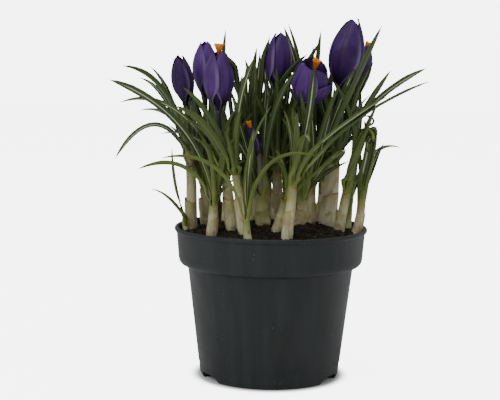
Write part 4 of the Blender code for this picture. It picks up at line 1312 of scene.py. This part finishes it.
# How far up its tube a spathe reaches, and how much wider than the tube it is.
SPATHES = {"1": (0.62, 1.9), "2": (0.5, 0.8), "3": (0.62, 0.7), "4": (0.5, 0.8), "5": (0.45, 0.9),
           "6": (0.75, 2.0), "7": (0.6, 0.9), "8": (0.98, 0.8)}
PETAL_LENGTHS = (1.0, 0.97, 0.985)
FALLEN_FLOWER, FALLEN_PETAL, FALLEN_LENGTH, FALL = "5", 2, 0.66, 0.10
INNER_SHORTER = 0.045                             # inner petals end this much lower in the cup


def dress_flower(flower):
    """All of one flower's petals, tube and spathe."""
    spin = math.radians(flower.spin)

    def outer_radius(t):
        return float(cup_radius(flower, t)) + 0.1

    def inner_radius(t):
        return max(0.90 * float(cup_radius(flower, t)) - 0.75, 0.8)

    outers, inners = [], []
    for number, length in enumerate(PETAL_LENGTHS):
        turn = spin + 2 * math.pi * number / 3
        fallen = flower.name == FALLEN_FLOWER and number == FALLEN_PETAL
        reach, fall = (FALLEN_LENGTH, FALL) if fallen else (length, 0.0)
        outers.append(petal(f"petal_{flower.name}_{number}", flower, turn, outer_radius, reach,
                            SPREAD_OUTER, 0.45, PETAL_OUTER, fall))
        inners.append(petal(f"inner_{flower.name}_{number}", flower, turn + math.pi / 3, inner_radius,
                            length - INNER_SHORTER, SPREAD_INNER, 0.3, PETAL_INNER))
    stalk = tube(f"tube_{flower.name}", flower, 0.0, 1.0, lambda v: TUBE + 0.12 * v, 0.2, TUBE_SKIN)
    pieces = [(joined(f"petals_outer_{flower.name}", outers + [stalk]), "petal"),
              (joined(f"petals_inner_{flower.name}", inners), "inner_petal")]
    share, wider = SPATHES[flower.name]
    cover = tube(f"spathe_{flower.name}", flower, 0.02, share,
                 lambda v: TUBE + wider * (0.75 + 0.4 * math.sin(3 * v)), 0.15, SPATHE_SKIN, tear=3.0)
    pieces.append((cover, "cream_sheath"))
    for piece, slot_name in pieces:
        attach(piece, "root")
    return pieces[0][0], pieces[1][0]


for flower in FLOWERS:
    outer_whorl, inner_whorl = dress_flower(flower)
    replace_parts(outer_whorl, f"outer_petals_{flower.name}")
    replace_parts(inner_whorl, f"inner_petals_{flower.name}")
bud, _ = dress_flower(BUD)
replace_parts(bud, "bud_8")

# ---------------------------------------------------------------- stigmas
# A bright orange stigma stands up through the middle of a flower: three frilled lobes rolled into a
# ragged trumpet on a thin style.


def orange_frill():
    """Matt orange, brighter along the frilled edge."""
    finish, tree, shader = new_material("stigma", (0.62, 0.16, 0.01), 0.55)
    place = object_place(tree)
    _, _, along = sheet_coordinates(tree)
    base = mixed(tree, blotches(tree, place, 420, 0.46), (0.56, 0.120, 0.004), (0.80, 0.26, 0.010))
    base = mixed(tree, stepped(tree, along, 0.85, 1.0, 0, 0.6), base, (0.88, 0.36, 0.018))
    painted(tree, shader, base, through=0.1, reach=(0.002, 0.001, 0.0005))
    roughen(tree, shader, speckle(tree, place, 700, 3), 0.6, 0.0004)
    return finish


STIGMA_SKIN = orange_frill()
STYLE_RADIUS, STYLE_FOOT, TRUMPET_DEPTH = 0.7, 0.2, 6.5
FRILL_COLUMNS, FRILL_ROWS, FRILL_SKIN = 44, 28, 0.3
INNER_FRILL, FRILL_SET_IN = 0.62, 0.2     # radius of the frill rolled inside, and how much lower it is
# How far each stigma stands out of its flower, and the radius of its mouth.
STIGMAS = {"3": (3.2, 2.9), "5": (1.4, 2.5), "7": (1.3, 1.7), "8": (2.6, 1.5)}


def cup_height(flower):
    throat, tip = cup_ends(flower)
    return np.linalg.norm(tip - throat)


def trumpet(flower, top, radius, seed):
    """A style that flares into a frilled, ragged trumpet."""
    height = cup_height(flower)
    low = STYLE_FOOT * height

    def place(u, v):
        angle = 2 * math.pi * u
        rise = low + (top - low) * (v ** 0.6)
        flare = max((rise - (top - TRUMPET_DEPTH)) / TRUMPET_DEPTH, 0)
        lobes = 1 + flare * (0.10 * math.cos(3 * angle) + 0.13 * math.sin(9 * angle + seed))
        wide = (STYLE_RADIUS + (radius - STYLE_RADIUS) * flare ** 1.1) * lobes
        frill = 0.2 * math.cos(3 * angle + 0.5) + 0.3 * math.sin(8 * angle) + 0.2 * math.sin(13 * angle)
        rise += flare ** 3 * frill
        return cup_point(flower, rise / height, angle, wide)

    return sheet(f"frill_{flower.name}_{seed}", FRILL_COLUMNS, FRILL_ROWS, place, [STIGMA_SKIN], FRILL_SKIN,
                 rolled=True)


def stigma(flower):
    """Two frills, one rolled inside the other."""
    shown, radius = STIGMAS[flower.name]
    top = cup_height(flower) + shown
    rolled = [trumpet(flower, top, radius, 1), trumpet(flower, top - FRILL_SET_IN, INNER_FRILL * radius, 2)]
    whole = joined(f"stigma_frill_{flower.name}", rolled)
    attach(whole, "root")
    return whole


for flower in FLOWERS:
    if flower.name in STIGMAS:
        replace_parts(stigma(flower), f"stigma_{flower.name}")
stigma(BUD)
